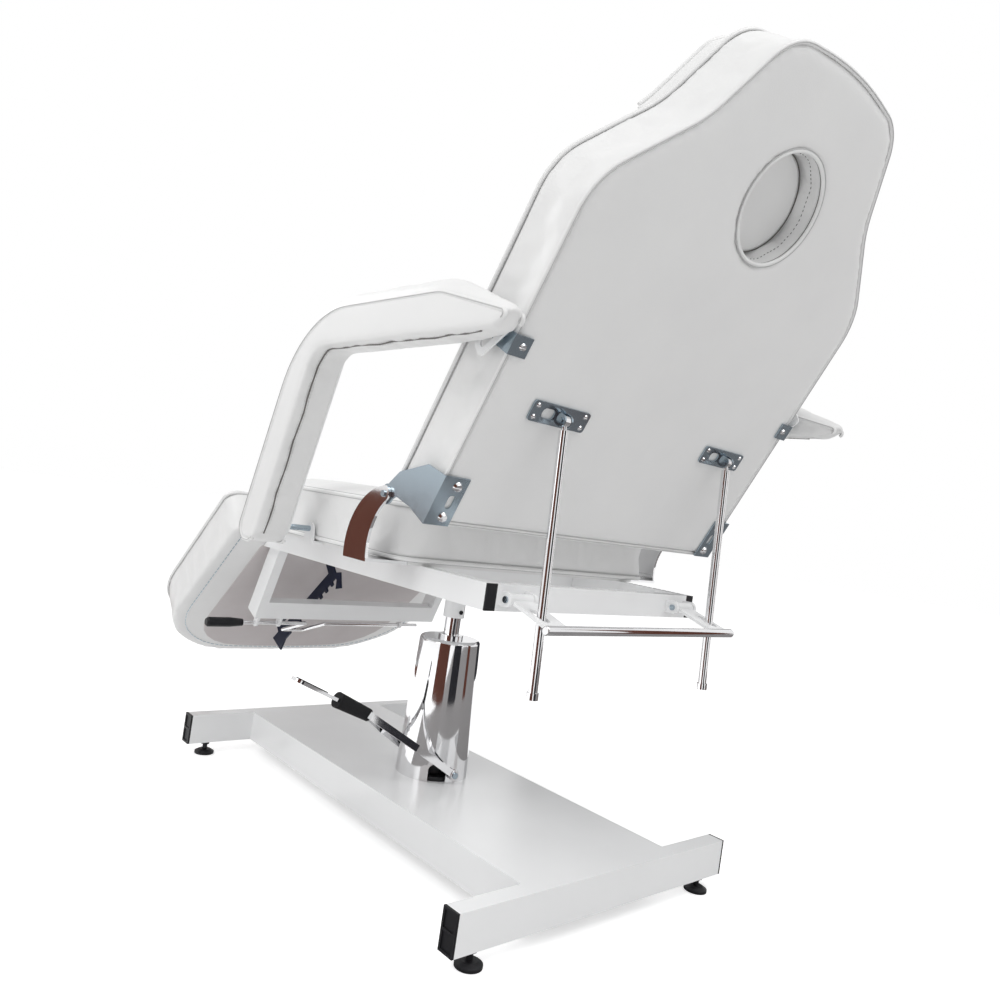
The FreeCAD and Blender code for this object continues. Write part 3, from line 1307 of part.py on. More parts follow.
def make_leg_rest():
    place = leg_frame()
    low = -size("leg_board_drop")
    board_thickness = size("leg_board_thickness")
    board = plate(leg_corners(size("leg_board_inset")), board_thickness)
    board.translate(Vector(0, 0, low))
    name_piece(feature("leg_board", board, place), "leg_board")
    stations = cushion_stations(size("leg_pad_height"), size("leg_crown"), size("crown_run"))
    pad = cushion(leg_corners(), stations)
    pad.translate(Vector(0, 0, low + board_thickness))
    name_piece(feature("leg_pad", pad, place), "leg_pad")
    straps = [leg_strap(side, low) for side in (1, -1)]
    name_piece(feature("leg_hinge_straps", Part.makeCompound(straps), place), "leg_hinge_straps")
    make_leg_hinge_lugs()
    make_rack(place, low)


def leg_strap(side, low):
    """A hinge strap under the leg rest: an eye on the hinge pin and a flange on the board."""
    thickness = size("leg_strap_thickness")
    outer = layout.rail_inner - size("leg_lug_thickness") - size("side_gap")
    near = outer - thickness if side > 0 else -outer
    eye = size("leg_pin_radius") + 4
    clear = 2.0
    ear = Part.makeCylinder(eye, thickness, Vector(near, 0, 0), Vector(1, 0, 0))
    neck = Part.makeBox(thickness, size("leg_start") - clear, eye - low, Vector(near, 0, low - eye + 2))
    web = Part.makeBox(thickness, 50, eye - 2, Vector(near, 0, low - eye + 2))
    flange_width = 34.0
    flange_x = outer - flange_width if side > 0 else -outer
    flange = Part.makeBox(flange_width, 32, thickness, Vector(flange_x, 18, low - thickness))
    hole = Part.makeCylinder(size("leg_pin_radius") + size("running_gap"), 40, Vector(near - 20, 0, 0),
                             Vector(1, 0, 0))
    return ear.fuse(neck).fuse(web).fuse(flange).cut(hole).removeSplitter()


def make_leg_hinge_lugs():
    """Plates on the rails' inner faces that hold the leg rest's hinge pins."""
    thickness = size("leg_lug_thickness")
    pivot = Vector(0, layout.leg_hinge_place, size("leg_hinge_height"))
    top = size("rail_top_height")
    back = layout.front_cross_y - 1
    lugs = []
    for side in (1, -1):
        near = layout.rail_inner - thickness if side > 0 else -layout.rail_inner
        foot = layout.rail_bottom + 6
        lug = plate([(back - 14, foot, 2), (back, foot, 2), (back, top, 3), (pivot.y + 8, pivot.z + 8, 7),
                     (pivot.y - 8, pivot.z + 8, 7), (pivot.y - 8, top + 4, 4)], thickness)
        lug.Placement = yz_frame(near, 0, 0)
        hole = Part.makeCylinder(size("leg_pin_radius"), 3 * thickness, Vector(near - thickness, pivot.y, pivot.z),
                                 Vector(1, 0, 0))
        lugs.append(lug.cut(hole))
    name_piece(feature("leg_hinge_lugs", Part.makeCompound(lugs)), "leg_hinge_lugs")


def rack_outline():
    """Side outline of the rack as (along, below): hooked ends, a straight back and a notched front."""
    start, end = size("rack_start"), size("rack_end")
    top, bottom, tip = size("rack_top"), size("rack_notch_bottom"), size("rack_tooth_tip")
    width, pitch = size("rack_notch_width"), size("rack_pitch")
    held = size("rack_held_notch")
    count = int(size("rack_notches"))
    before = 0.44 * width
    hook = 24.0
    points = [(start, top + hook), (start + 14, tip + hook), (start + 32, tip + 0.6 * hook)]
    for index in range(count - 1, -1, -1):
        near = held - index * pitch - before
        points += [(near, tip), (near, bottom), (near + width, bottom), (near + width, tip)]
    points += [(end - 50, tip), (end - 20, tip + 0.5 * hook), (end, top), (start + 1.6 * hook, top)]
    return points


def make_rack(place, low):
    """The notched rack under the leg rest, on two stand-off feet."""
    thickness = size("rack_thickness")
    x = -size("rack_x")
    outline = [Vector(x - thickness / 2, along, -below) for along, below in rack_outline()]
    rack = Part.Face(Part.makePolygon(outline + outline[:1])).extrude(Vector(thickness, 0, 0))
    name_piece(feature("leg_rack", rack, place), "leg_rack")
    feet = []
    length = size("rack_foot_length")
    wall = size("bracket_thickness")
    for along in (size("rack_start") + 22, size("rack_end") - 22 - length):
        post = Part.makeBox(wall, length, size("rack_top") + low + 12,
                            Vector(x + thickness / 2, along, -size("rack_top") - 12))
        flange = Part.makeBox(22, length, wall, Vector(x + thickness / 2, along, low - wall))
        feet.append(post.fuse(flange).removeSplitter())
    name_piece(feature("rack_feet", Part.makeCompound(feet), place), "rack_feet")


# Latch under the drop frame


def latch_pin_point():
    """Where the latch's crank stands in the rack's held notch."""
    below = size("rack_notch_bottom") + size("latch_rod_radius") + 0.5
    return leg_frame().multVec(Vector(-size("rack_x"), size("rack_held_notch"), -below))


def latch_axis_point():
    """The latch rod's axis, under the drop bar."""
    middle = size("drop_depth") / 2 - 0.5 * size("drop_width") - 1
    return drop_frame_place().multVec(Vector(0, middle, -size("latch_below_bar")))


def latch_lug_places():
    half = size("drop_half_span")
    return (half - 13, half - 65, -half + 86)


def make_latch():
    """The latch rod with its crank in the rack, its grip and the lugs that carry it."""
    crank = latch_pin_point()
    axis = latch_axis_point()
    radius = size("latch_rod_radius")
    half = size("drop_half_span")
    near, far = size("rack_x") - size("latch_crank_half"), size("rack_x") + size("latch_crank_half")

    def on_axis(x):
        return Vector(x, axis.y, axis.z)

    def on_crank(x):
        return Vector(x, crank.y, crank.z)

    bar = rod_shape([on_axis(half + 30), on_axis(far), on_crank(far), on_crank(near), on_axis(near),
                     on_axis(-half + 35)], radius)
    name_piece(feature("latch_rod", bar), "latch_rod")
    grip_radius = size("latch_grip_radius")
    grip_length = size("latch_grip_length")
    profile = [(0, 0), (grip_radius * 0.75, 0), (grip_radius, grip_length * 0.35), (grip_radius, grip_length - 4),
               (grip_radius - 3, grip_length), (0, grip_length)]
    points = [Vector(r, 0, z) for r, z in profile]
    grip = Part.Face(Part.makePolygon(points + points[:1])).revolve(Vector(), Vector(0, 0, 1), 360)
    socket = Part.makeCylinder(radius, 12, Vector(0, 0, 0))
    place = Placement(on_axis(half + 18), Rotation(Vector(0, 0, 1), Vector(1, 0, 0)))
    name_piece(feature("latch_grip", grip.cut(socket), place), "latch_grip")
    make_latch_lugs(axis)


def make_latch_lugs(axis):
    """Plates under the drop bar that carry the latch rod."""
    thickness = size("latch_lug_thickness")
    radius = size("latch_rod_radius")
    eye = radius + 4
    lugs = []
    for x in latch_lug_places():
        place = drop_frame_place(x)
        centre = place.inverse().multVec(Vector(x, axis.y, axis.z))
        web = Part.makeBox(thickness, 2 * eye, -centre.z, Vector(-thickness / 2, centre.y - eye, centre.z))
        ring = Part.makeCylinder(eye, thickness, Vector(-thickness / 2, centre.y, centre.z), Vector(1, 0, 0))
        hole = Part.makeCylinder(radius + size("running_gap"), 4 * thickness,
                                 Vector(-2 * thickness, centre.y, centre.z), Vector(1, 0, 0))
        lug = web.fuse(ring).cut(hole).removeSplitter()
        lug.Placement = place
        lugs.append(lug)
    name_piece(feature("latch_lugs", Part.makeCompound(lugs)), "latch_lugs")


def check_and_write():
    """Refuse a failed object or a bad shape, then write one file for each sub-part."""
    doc.recompute()
    for item in doc.Objects:
        if "Invalid" in item.State or "Error" in item.State:
            raise RuntimeError(f"{item.Name} failed: {item.State}")
    for piece in PIECES:
        if piece.Shape.isNull() or not piece.Shape.isValid():
            raise RuntimeError(f"{piece.Label} has a bad shape")
        if not piece.Shape.Solids:
            raise RuntimeError(f"{piece.Label} has no solid")
    os.makedirs("parts", exist_ok=True)
    whole = FreeCAD.BoundBox()
    for piece in PIECES:
        piece.Shape.exportStep(f"parts/{piece.Label}.step")
        whole.add(piece.Shape.BoundBox)
    print(f"{len(PIECES)} sub-parts in {whole}")


fill_sheet()
place_layout()
make_base()
make_pump()
make_pedal()
make_seat_frame()
make_seat()
make_horns()
make_arm_lugs()
make_pivot_pins()
make_backrest()
make_back_brackets()
make_support_rods()
make_release_handle()
make_armrests()
make_leg_rest()
make_latch()
check_and_write()
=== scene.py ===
import bmesh
import bpy
import json
import math
from mathutils import Matrix, Vector
from mathutils.bvhtree import BVHTree


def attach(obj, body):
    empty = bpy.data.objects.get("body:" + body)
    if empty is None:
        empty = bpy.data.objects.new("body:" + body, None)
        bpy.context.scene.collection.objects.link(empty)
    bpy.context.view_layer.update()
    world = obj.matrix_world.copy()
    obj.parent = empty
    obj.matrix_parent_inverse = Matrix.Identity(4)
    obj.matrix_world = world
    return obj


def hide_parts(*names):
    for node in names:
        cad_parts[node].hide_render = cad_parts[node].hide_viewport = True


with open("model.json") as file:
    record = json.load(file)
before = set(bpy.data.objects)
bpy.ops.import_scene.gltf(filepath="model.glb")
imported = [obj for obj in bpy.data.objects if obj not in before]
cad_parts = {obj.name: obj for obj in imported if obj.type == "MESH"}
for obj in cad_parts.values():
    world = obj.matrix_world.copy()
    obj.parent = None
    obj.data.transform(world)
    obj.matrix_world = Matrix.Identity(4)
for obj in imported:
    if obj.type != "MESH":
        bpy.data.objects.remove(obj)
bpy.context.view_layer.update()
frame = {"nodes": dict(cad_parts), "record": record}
NODES = frame["nodes"]
MM = 0.001

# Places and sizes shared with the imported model, in millimetres and radians
PUMP_Y = 29.8
BACK_HINGE = Vector((0, 224.4 + PUMP_Y, 611.5))
BACK_LEAN = math.radians(28.2)
BACK_THICKNESS = 100.0
FACE_HOLE_UP = 603.0
FACE_HOLE_RADIUS = 80.0
LEG_HINGE = Vector((0, -300.0 + PUMP_Y, 516.0))
LEG_DROP = math.radians(42.0)
ARM_PIVOT_Y = -56.0 + PUMP_Y
ARM_INNER = 357.0
ARM_WIDTH = 65.0

# Seams, in millimetres
PIPING_RADIUS = 3.4
CREASE_RADIUS = 0.8
CREASE_SIDES = 8
STITCH_LENGTH = 4.2
STITCH_GAP = 1.8
STITCH_THICKNESS = 1.1
STAPLE_SIZE = (9.0, 1.2, 1.4)
STAPLE_PITCH = 13.0
STAPLE_INSET = 26.0

# Cushions: outlines as (across, along, corner radius), stations as (height, inset), seams as heights
BACK_OUTLINE = [(342, 16, 28), (342, 522, 110), (218, 647, 180), (148, 781, 80), (0, 802, 600),
                (-148, 781, 80), (-218, 647, 180), (-342, 522, 110), (-342, 16, 28)]
BACK_STATIONS = [(0.6, 14), (1.5, 6), (6, 1), (30, 3), (50, 4.5), (72, 3), (94, 0.5), (99, 3), (105, 24),
                 (111, 58), (116, 105)]
BACK_SEAMS = (6, 96)
PILLOW_STATIONS = [(98, 21), (120, 19), (138, 18), (145, 21), (149, 30), (151, 62)]
PILLOW_START = 628.0
PILLOW_OPENING = 96.0
PILLOW_SEAM = 145.0
PILLOW_SEAM_INSET = 20.0
SEAT_OUTLINE = [(-302, -286 + PUMP_Y, 38), (302, -286 + PUMP_Y, 38), (302, 221 + PUMP_Y, 38),
                (-302, 221 + PUMP_Y, 38)]
SEAT_STATIONS = [(511.5, 12), (513, 4), (517, 0.5), (536, 3), (558, 4.5), (580, 3), (597, 0.5), (602, 3),
                 (607, 24), (611, 58), (614, 105)]
SEAT_SEAMS = (516, 599)
LEG_OUTLINE = [(-332, 14, 26), (332, 14, 26), (332, 505, 200), (0, 518, 1200), (-332, 505, 200)]
LEG_STATIONS = [(-5.6, 12), (-4.5, 4), (0, 0.5), (20, 3), (40, 4.5), (62, 3), (82, 0.5), (87, 3), (91, 24),
                (95, 58), (98, 105)]
LEG_SEAMS = (84,)
CLOTH_OUTLINE = [(-252, 66, 8), (252, 66, 8), (252, 474, 130), (0, 490, 1200), (-252, 474, 130)]
CLOTH_HEIGHTS = (-5.7, -6.5)
ARM_TIP = 534.0 + PUMP_Y
ARM_UNDER = 823.0
ARM_DOME = 26.0
ARM_OUTLINE = [(ARM_PIVOT_Y - 48, 500, 24), (ARM_PIVOT_Y + 11, 500, 24), (ARM_PIVOT_Y + 125, ARM_UNDER, 50),
               (ARM_TIP - 34, ARM_UNDER + 5, 8), (ARM_TIP, ARM_UNDER + 19, 6),
               (ARM_TIP - 146, ARM_UNDER + 57, 110), (ARM_PIVOT_Y + 86, ARM_UNDER + 57, 180)]
ARM_TAPER_LENGTH = 150.0
BOXED_VOXEL = 7.0
PILLOW_VOXEL = 5.0
ARM_VOXEL = 5.0
PLUG_VOXEL = 4.0


# Outlines and frames


def back_place():
    """Matrix of the backrest's own frame: X across, Y up the slope, Z forward from the back face."""
    up = Vector((0, math.sin(BACK_LEAN), math.cos(BACK_LEAN)))
    forward = Vector((0, -math.cos(BACK_LEAN), math.sin(BACK_LEAN)))
    origin = BACK_HINGE - forward * BACK_THICKNESS
    return frame_matrix(Vector((1, 0, 0)), up, forward, origin)


def leg_place():
    """Matrix of the leg rest's own frame: X across, Y along it, Z out of the padded face."""
    along = Vector((0, -math.cos(LEG_DROP), -math.sin(LEG_DROP)))
    over = Vector((0, -math.sin(LEG_DROP), math.cos(LEG_DROP)))
    return frame_matrix(Vector((-1, 0, 0)), along, over, LEG_HINGE)


def frame_matrix(x_axis, y_axis, z_axis, origin):
    """Matrix of a frame from its three axes and its origin."""
    rows = Matrix((x_axis, y_axis, z_axis)).transposed().to_4x4()
    rows.translation = origin
    return rows


def offset_corners(corners, inset):
    """Move each side of an anticlockwise polygon inwards and find its corners again, with their turns."""
    moved = []
    count = len(corners)
    for index, (x, y, _) in enumerate(corners):
        before, after = corners[index - 1], corners[(index + 1) % count]
        into = Vector((x - before[0], y - before[1])).normalized()
        out = Vector((after[0] - x, after[1] - y)).normalized()
        normal, next_normal = Vector((-into.y, into.x)), Vector((-out.y, out.x))
        shift = (normal + next_normal) * (inset / (1 + normal.dot(next_normal)))
        moved.append((Vector((x, y)) + shift, into.x * out.y - into.y * out.x))
    return moved


def outline_points(corners, inset=0.0, arc_steps=10, line_steps=6):
    """Points round a polygon with rounded corners, drawn in by inset. The count never depends on inset."""
    least_radius = 5.0
    moved = offset_corners(corners, inset)
    count = len(moved)
    arcs = []
    for index, (here, turn) in enumerate(moved):
        radius = corners[index][2]
        radius = max(radius - inset, least_radius) if turn > 0 else radius + inset
        back = (moved[index - 1][0] - here).normalized()
        ahead = (moved[(index + 1) % count][0] - here).normalized()
        half_angle = back.angle(ahead) / 2
        centre = here + (back + ahead).normalized() * (radius / math.sin(half_angle))
        start = here + back * (radius / math.tan(half_angle)) - centre
        sweep = (math.pi - 2 * half_angle) * (1 if turn > 0 else -1)
        turns = [Matrix.Rotation(sweep * step / arc_steps, 2) for step in range(arc_steps + 1)]
        arcs.append([centre + rotation @ start for rotation in turns])
    points = []
    for index, arc in enumerate(arcs):
        points += arc
        end, begin = arc[-1], arcs[(index + 1) % count][0]
        points += [end.lerp(begin, step / line_steps) for step in range(1, line_steps)]
    return points


def spaced(path, gap):
    """Places along a closed path at even gaps, each with the way that the path runs there."""
    found = []
    carry = gap
    for start, end in zip(path, path[1:] + path[:1]):
        run = end - start
        place = carry
        while place < run.length:
            found.append((start + run * (place / run.length), run.normalized()))
            place += gap
        carry = place - run.length
    return found


# Meshes


def new_object(name, mesh):
    """Put a mesh or curve into the scene."""
    piece = bpy.data.objects.new(name, mesh)
    bpy.context.scene.collection.objects.link(piece)
    return piece


def finish_mesh(name, builder, smooth=True):
    """Turn a built mesh into a piece of the scene."""
    mesh = bpy.data.meshes.new(name)
    builder.to_mesh(mesh)
    builder.free()
    if smooth:
        mesh.shade_smooth()
    return new_object(name, mesh)


def join_rings(builder, rings):
    """Close rings of points, each of the same count, to one solid skin."""
    count = len(rings[0])
    for low, high in zip(rings, rings[1:]):
        for index in range(count):
            after = (index + 1) % count
            builder.faces.new((low[index], low[after], high[after], high[index]))
    builder.faces.new(list(reversed(rings[0])))
    builder.faces.new(rings[-1])
    bmesh.ops.recalc_face_normals(builder, faces=builder.faces)


def lofted_block(name, outline, stations, place):
    """A closed block through one outline, drawn in by a different amount at each height."""
    builder = bmesh.new()
    rings = []
    for height, inset in stations:
        points = outline_points(outline, inset)
        rings.append([builder.verts.new(place @ Vector((p.x, p.y, height)) * MM) for p in points])
    join_rings(builder, rings)
    return finish_mesh(name, builder)


def tube(name, points, radius, closed=False, sides=10):
    """A round bead along points given in millimetres."""
    curve = bpy.data.curves.new(name, "CURVE")
    curve.dimensions = "3D"
    curve.bevel_depth = radius * MM
    curve.bevel_resolution = sides // 4
    spline = curve.splines.new("POLY")
    spline.points.add(len(points) - 1)
    for control, point in zip(spline.points, points):
        control.co = (*(Vector(point) * MM), 1)
    spline.use_cyclic_u = closed
    curve.use_fill_caps = not closed
    holder = new_object(name + "_curve", curve)
    bpy.context.view_layer.update()
    mesh = bpy.data.meshes.new_from_object(holder)
    bpy.data.objects.remove(holder)
    mesh.name = name
    mesh.shade_smooth()
    return new_object(name, mesh)


def apply_modifiers(piece):
    """Keep what a piece's modifiers make of it, and drop them."""
    bpy.context.view_layer.update()
    graph = bpy.context.evaluated_depsgraph_get()
    mesh = bpy.data.meshes.new_from_object(piece.evaluated_get(graph))
    piece.modifiers.clear()
    piece.data = mesh
    mesh.shade_smooth()


def relax(piece, rounds):
    """Smooth a piece's points towards their neighbours."""
    modifier = piece.modifiers.new("relax", "SMOOTH")
    modifier.factor = 0.5
    modifier.iterations = rounds
    apply_modifiers(piece)


def remesh(piece, voxel):
    """Even out a piece's faces to about one size, given in millimetres."""
    modifier = piece.modifiers.new("voxels", "REMESH")
    modifier.mode = "VOXEL"
    modifier.voxel_size = voxel * MM
    apply_modifiers(piece)
    relax(piece, 4)


def drill(piece, place, centre, radius, low, high):
    """Cut a round hole through a piece."""
    builder = bmesh.new()
    bmesh.ops.create_cone(builder, cap_ends=True, segments=96, radius1=radius * MM, radius2=radius * MM,
                          depth=(high - low) * MM)
    middle = place.copy()
    middle.translation = place @ Vector((centre.x, centre.y, (low + high) / 2)) * MM
    builder.transform(middle)
    carve(piece, finish_mesh("drill", builder))


def carve(piece, tool):
    """Cut one piece's space out of another, and drop the tool."""
    modifier = piece.modifiers.new("cut", "BOOLEAN")
    modifier.object = tool
    modifier.operation = "DIFFERENCE"
    modifier.solver = "EXACT"
    apply_modifiers(piece)
    bpy.data.objects.remove(tool)


def trim(piece, point, normal):
    """Cut away what lies behind a plane and close the cut."""
    builder = bmesh.new()
    builder.from_mesh(piece.data)
    every = builder.verts[:] + builder.edges[:] + builder.faces[:]
    cut = bmesh.ops.bisect_plane(builder, geom=every, plane_co=point * MM, plane_no=normal,
                                 clear_inner=True)
    rim = [item for item in cut["geom_cut"] if isinstance(item, bmesh.types.BMEdge)]
    bmesh.ops.contextual_create(builder, geom=rim)
    builder.to_mesh(piece.data)
    builder.free()


def puff(piece, free, pressure, most):
    """Blow a cushion up as cloth. free(point) runs from 0 on a seam to 1 in a panel, most is the cap."""
    rest = [vertex.co.copy() for vertex in piece.data.vertices]
    held = piece.vertex_groups.new(name="held")
    for index, point in enumerate(rest):
        weight = 1.0 - free(point / MM)
        if weight > 0:
            held.add([index], weight, "REPLACE")
    cloth = piece.modifiers.new("cloth", "CLOTH")
    settings = cloth.settings
    settings.quality = 4
    settings.mass = 0.3
    settings.tension_stiffness = 20
    settings.compression_stiffness = 20
    settings.shear_stiffness = 8
    settings.bending_stiffness = 4
    settings.vertex_group_mass = "held"
    settings.pin_stiffness = 2
    settings.shrink_min = -0.012
    settings.use_pressure = True
    settings.uniform_pressure_force = pressure
    settings.effector_weights.gravity = 0
    cloth.collision_settings.use_collision = False
    last_frame = 14
    cloth.point_cache.frame_start = 1
    cloth.point_cache.frame_end = last_frame
    scene = bpy.context.scene
    for step in range(1, last_frame + 1):
        scene.frame_set(step)
    graph = bpy.context.evaluated_depsgraph_get()
    blown = bpy.data.meshes.new_from_object(piece.evaluated_get(graph))
    piece.modifiers.clear()
    for vertex, start in zip(blown.vertices, rest):
        move = vertex.co - start
        if move.length > most * MM:
            vertex.co = start + move.normalized() * most * MM
    piece.vertex_groups.clear()
    piece.data = blown
    scene.frame_set(1)
    relax(piece, 4)


def soften(piece):
    """One level of subdivision."""
    modifier = piece.modifiers.new("soft", "SUBSURF")
    modifier.levels = 1
    modifier.render_levels = 1


def lay_on(piece, path, lift):
    """Move the points of a path to the nearest places on a finished piece, raised a little above them."""
    mesh = piece.data
    points = [vertex.co for vertex in mesh.vertices]
    surface = BVHTree.FromPolygons(points, [face.vertices[:] for face in mesh.polygons])
    laid = []
    for point in path:
        place, normal, _, _ = surface.find_nearest(point * MM)
        laid.append(place / MM + normal * lift)
    return laid


def settle(piece, body, material):
    """Give a finished piece its material and the body it moves with."""
    piece.data.materials.clear()
    piece.data.materials.append(material)
    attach(piece, body)
    return piece


# Materials


def new_material(name):
    material = bpy.data.materials.new(name)
    material.use_nodes = True
    nodes = material.node_tree.nodes
    shader = nodes["Principled BSDF"]
    return material, nodes, material.node_tree.links, shader


def add_node(nodes, kind, **inputs):
    node = nodes.new(kind)
    for key, value in inputs.items():
        node.inputs[key.replace("_", " ")].default_value = value
    return node


def object_noise(nodes, links, scale, detail=4.0, roughness=0.55):
    coordinates = nodes.new("ShaderNodeTexCoord")
    noise = add_node(nodes, "ShaderNodeTexNoise", Scale=scale, Detail=detail, Roughness=roughness)
    links.new(coordinates.outputs["Object"], noise.inputs["Vector"])
    return noise


def ramp_between(nodes, links, source, low, high):
    """Map a 0 to 1 value to a range."""
    mapping = nodes.new("ShaderNodeMapRange")
    mapping.inputs["To Min"].default_value = low
    mapping.inputs["To Max"].default_value = high
    links.new(source, mapping.inputs["Value"])
    return mapping.outputs["Result"]


def mix_colours(nodes, links, factor, first, second):
    mix = nodes.new("ShaderNodeMix")
    mix.data_type = "RGBA"
    mix.inputs["A"].default_value = (*first, 1)
    mix.inputs["B"].default_value = (*second, 1)
    links.new(factor, mix.inputs["Factor"])
    return mix.outputs["Result"]


def add_bump(nodes, links, shader, height, strength, distance):
    bump = add_node(nodes, "ShaderNodeBump", Strength=strength, Distance=distance)
    links.new(height, bump.inputs["Height"])
    links.new(bump.outputs["Normal"], shader.inputs["Normal"])


def vinyl_material(name, colour, shade):
    """Upholstery vinyl: fine pebble grain, faint mottling and uneven sheen."""
    material, nodes, links, shader = new_material(name)
    coordinates = nodes.new("ShaderNodeTexCoord")
    grain = add_node(nodes, "ShaderNodeTexVoronoi", Scale=620.0)
    links.new(coordinates.outputs["Object"], grain.inputs["Vector"])
    mottle = object_noise(nodes, links, 9.0, 5.0)
    sheen = object_noise(nodes, links, 38.0, 3.0)
    links.new(mix_colours(nodes, links, mottle.outputs["Fac"], shade, colour), shader.inputs["Base Color"])
    links.new(ramp_between(nodes, links, sheen.outputs["Fac"], 0.34, 0.5), shader.inputs["Roughness"])
    shader.inputs["Coat Weight"].default_value = 0.12
    shader.inputs["Coat Roughness"].default_value = 0.35
    add_bump(nodes, links, shader, grain.outputs["Distance"], 0.22, 0.0004)
    return material


def paint_material(name, colour, roughness, gloss=0.5):
    """Powder coat: gloss with a faint orange peel."""
    material, nodes, links, shader = new_material(name)
    shader.inputs["Specular IOR Level"].default_value = gloss
    peel = object_noise(nodes, links, 420.0, 2.0)
    tone = object_noise(nodes, links, 6.0, 3.0)
    dull = tuple(channel * 0.94 for channel in colour)
    links.new(mix_colours(nodes, links, tone.outputs["Fac"], dull, colour), shader.inputs["Base Color"])
    polish = ramp_between(nodes, links, tone.outputs["Fac"], roughness, roughness + 0.1)
    links.new(polish, shader.inputs["Roughness"])
    add_bump(nodes, links, shader, peel.outputs["Fac"], 0.08, 0.0004)
    return material


def metal_material(name, colour, low, high, grain_scale, grain_strength):
    """Plated or bare metal with fine scratches in its polish."""
    material, nodes, links, shader = new_material(name)
    shader.inputs["Metallic"].default_value = 1.0
    scuffs = object_noise(nodes, links, grain_scale, 6.0, 0.65)
    tone = object_noise(nodes, links, 14.0, 2.0)
    dull = tuple(channel * 0.9 for channel in colour)
    links.new(mix_colours(nodes, links, tone.outputs["Fac"], dull, colour), shader.inputs["Base Color"])
    links.new(ramp_between(nodes, links, scuffs.outputs["Fac"], low, high), shader.inputs["Roughness"])
    add_bump(nodes, links, shader, scuffs.outputs["Fac"], grain_strength, 0.0003)
    return material


def plastic_material(name, colour, low, high, grain):
    """Moulded plastic or rubber with a fine texture."""
    material, nodes, links, shader = new_material(name)
    shader.inputs["Specular IOR Level"].default_value = 0.2
    texture = object_noise(nodes, links, grain, 3.0)
    lighter = tuple(channel * 1.5 + 0.004 for channel in colour)
    blend = mix_colours(nodes, links, texture.outputs["Fac"], colour, lighter)
    links.new(blend, shader.inputs["Base Color"])
    links.new(ramp_between(nodes, links, texture.outputs["Fac"], low, high), shader.inputs["Roughness"])
    add_bump(nodes, links, shader, texture.outputs["Fac"], 0.15, 0.0003)
    return material


def plywood_material():
    """Bare plywood with stretched fibres."""
    material, nodes, links, shader = new_material("plywood")
    coordinates = nodes.new("ShaderNodeTexCoord")
    stretch = nodes.new("ShaderNodeMapping")
    stretch.inputs["Scale"].default_value = (1.0, 14.0, 14.0)
    links.new(coordinates.outputs["Object"], stretch.inputs["Vector"])
    fibres = add_node(nodes, "ShaderNodeTexNoise", Scale=9.0, Detail=8.0, Roughness=0.6)
    links.new(stretch.outputs["Vector"], fibres.inputs["Vector"])
    links.new(mix_colours(nodes, links, fibres.outputs["Fac"], (0.42, 0.29, 0.17), (0.66, 0.5, 0.33)),
              shader.inputs["Base Color"])
    shader.inputs["Roughness"].default_value = 0.75
    add_bump(nodes, links, shader, fibres.outputs["Fac"], 0.2, 0.0005)
    return material


def cloth_material():
    """Thin woven dust cloth."""
    material, nodes, links, shader = new_material("dust_cloth")
    coordinates = nodes.new("ShaderNodeTexCoord")
    weave = add_node(nodes, "ShaderNodeTexWave", Scale=260.0, Distortion=0.6)
    weave.bands_direction = "DIAGONAL"
    links.new(coordinates.outputs["Object"], weave.inputs["Vector"])
    blotch = object_noise(nodes, links, 12.0, 4.0)
    links.new(mix_colours(nodes, links, blotch.outputs["Fac"], (0.6, 0.555, 0.555), (0.7, 0.665, 0.665)),
              shader.inputs["Base Color"])
    shader.inputs["Roughness"].default_value = 0.95
    add_bump(nodes, links, shader, weave.outputs["Fac"], 0.35, 0.0004)
    return material


def make_materials():
    """All the materials by name, most of them one for a slot of the record."""
    return {
        "white_vinyl": vinyl_material("white_vinyl", (0.86, 0.86, 0.855), (0.8, 0.8, 0.8)),
        "seam_shadow": vinyl_material("seam_shadow", (0.6, 0.6, 0.6), (0.46, 0.46, 0.46)),
        # Near-black vinyl for the tubes and stitches that paint the shade in deep creases and seam grooves
        "deep_seam": vinyl_material("deep_seam", (0.17, 0.16, 0.155), (0.1, 0.095, 0.09)),
        "thread": vinyl_material("thread", (0.78, 0.78, 0.77), (0.66, 0.66, 0.65)),
        "white_steel": paint_material("white_steel", (0.95, 0.955, 0.96), 0.18),
        "chrome": metal_material("chrome", (0.84, 0.84, 0.85), 0.03, 0.09, 240.0, 0.015),
        "zinc_steel": metal_material("zinc_steel", (0.43, 0.51, 0.57), 0.14, 0.3, 60.0, 0.02),
        "black_plastic": plastic_material("black_plastic", (0.012, 0.012, 0.014), 0.34, 0.5, 900.0),
        "black_rubber": plastic_material("black_rubber", (0.01, 0.01, 0.011), 0.55, 0.75, 500.0),
        "dark_casting": paint_material("dark_casting", (0.02, 0.02, 0.022), 0.4, 0.3),
        "dark_steel": paint_material("dark_steel", (0.006, 0.01, 0.032), 0.3, 0.2),
        "plywood": plywood_material(),
        "dust_cloth": cloth_material(),
    }


def dress_nodes(materials):
    """Materials, soft shading and broken edges for the CAD pieces that stay in view."""
    slots = {entry["node"]: entry["material_slot"] for entry in frame["record"]["subparts"]}
    covered = {"seat_board": "white_vinyl"}
    for name, node in NODES.items():
        node.data.materials.clear()
        node.data.materials.append(materials[covered.get(name, slots[name])])
        node.data.shade_smooth()
        node.data.set_sharp_from_angle(angle=math.radians(32))
        bevel = node.modifiers.new("edges", "BEVEL")
        bevel.width = 0.0007
        bevel.segments = 2
        bevel.limit_method = "ANGLE"
        bevel.angle_limit = math.radians(50)
        bevel.harden_normals = True


# Cushions


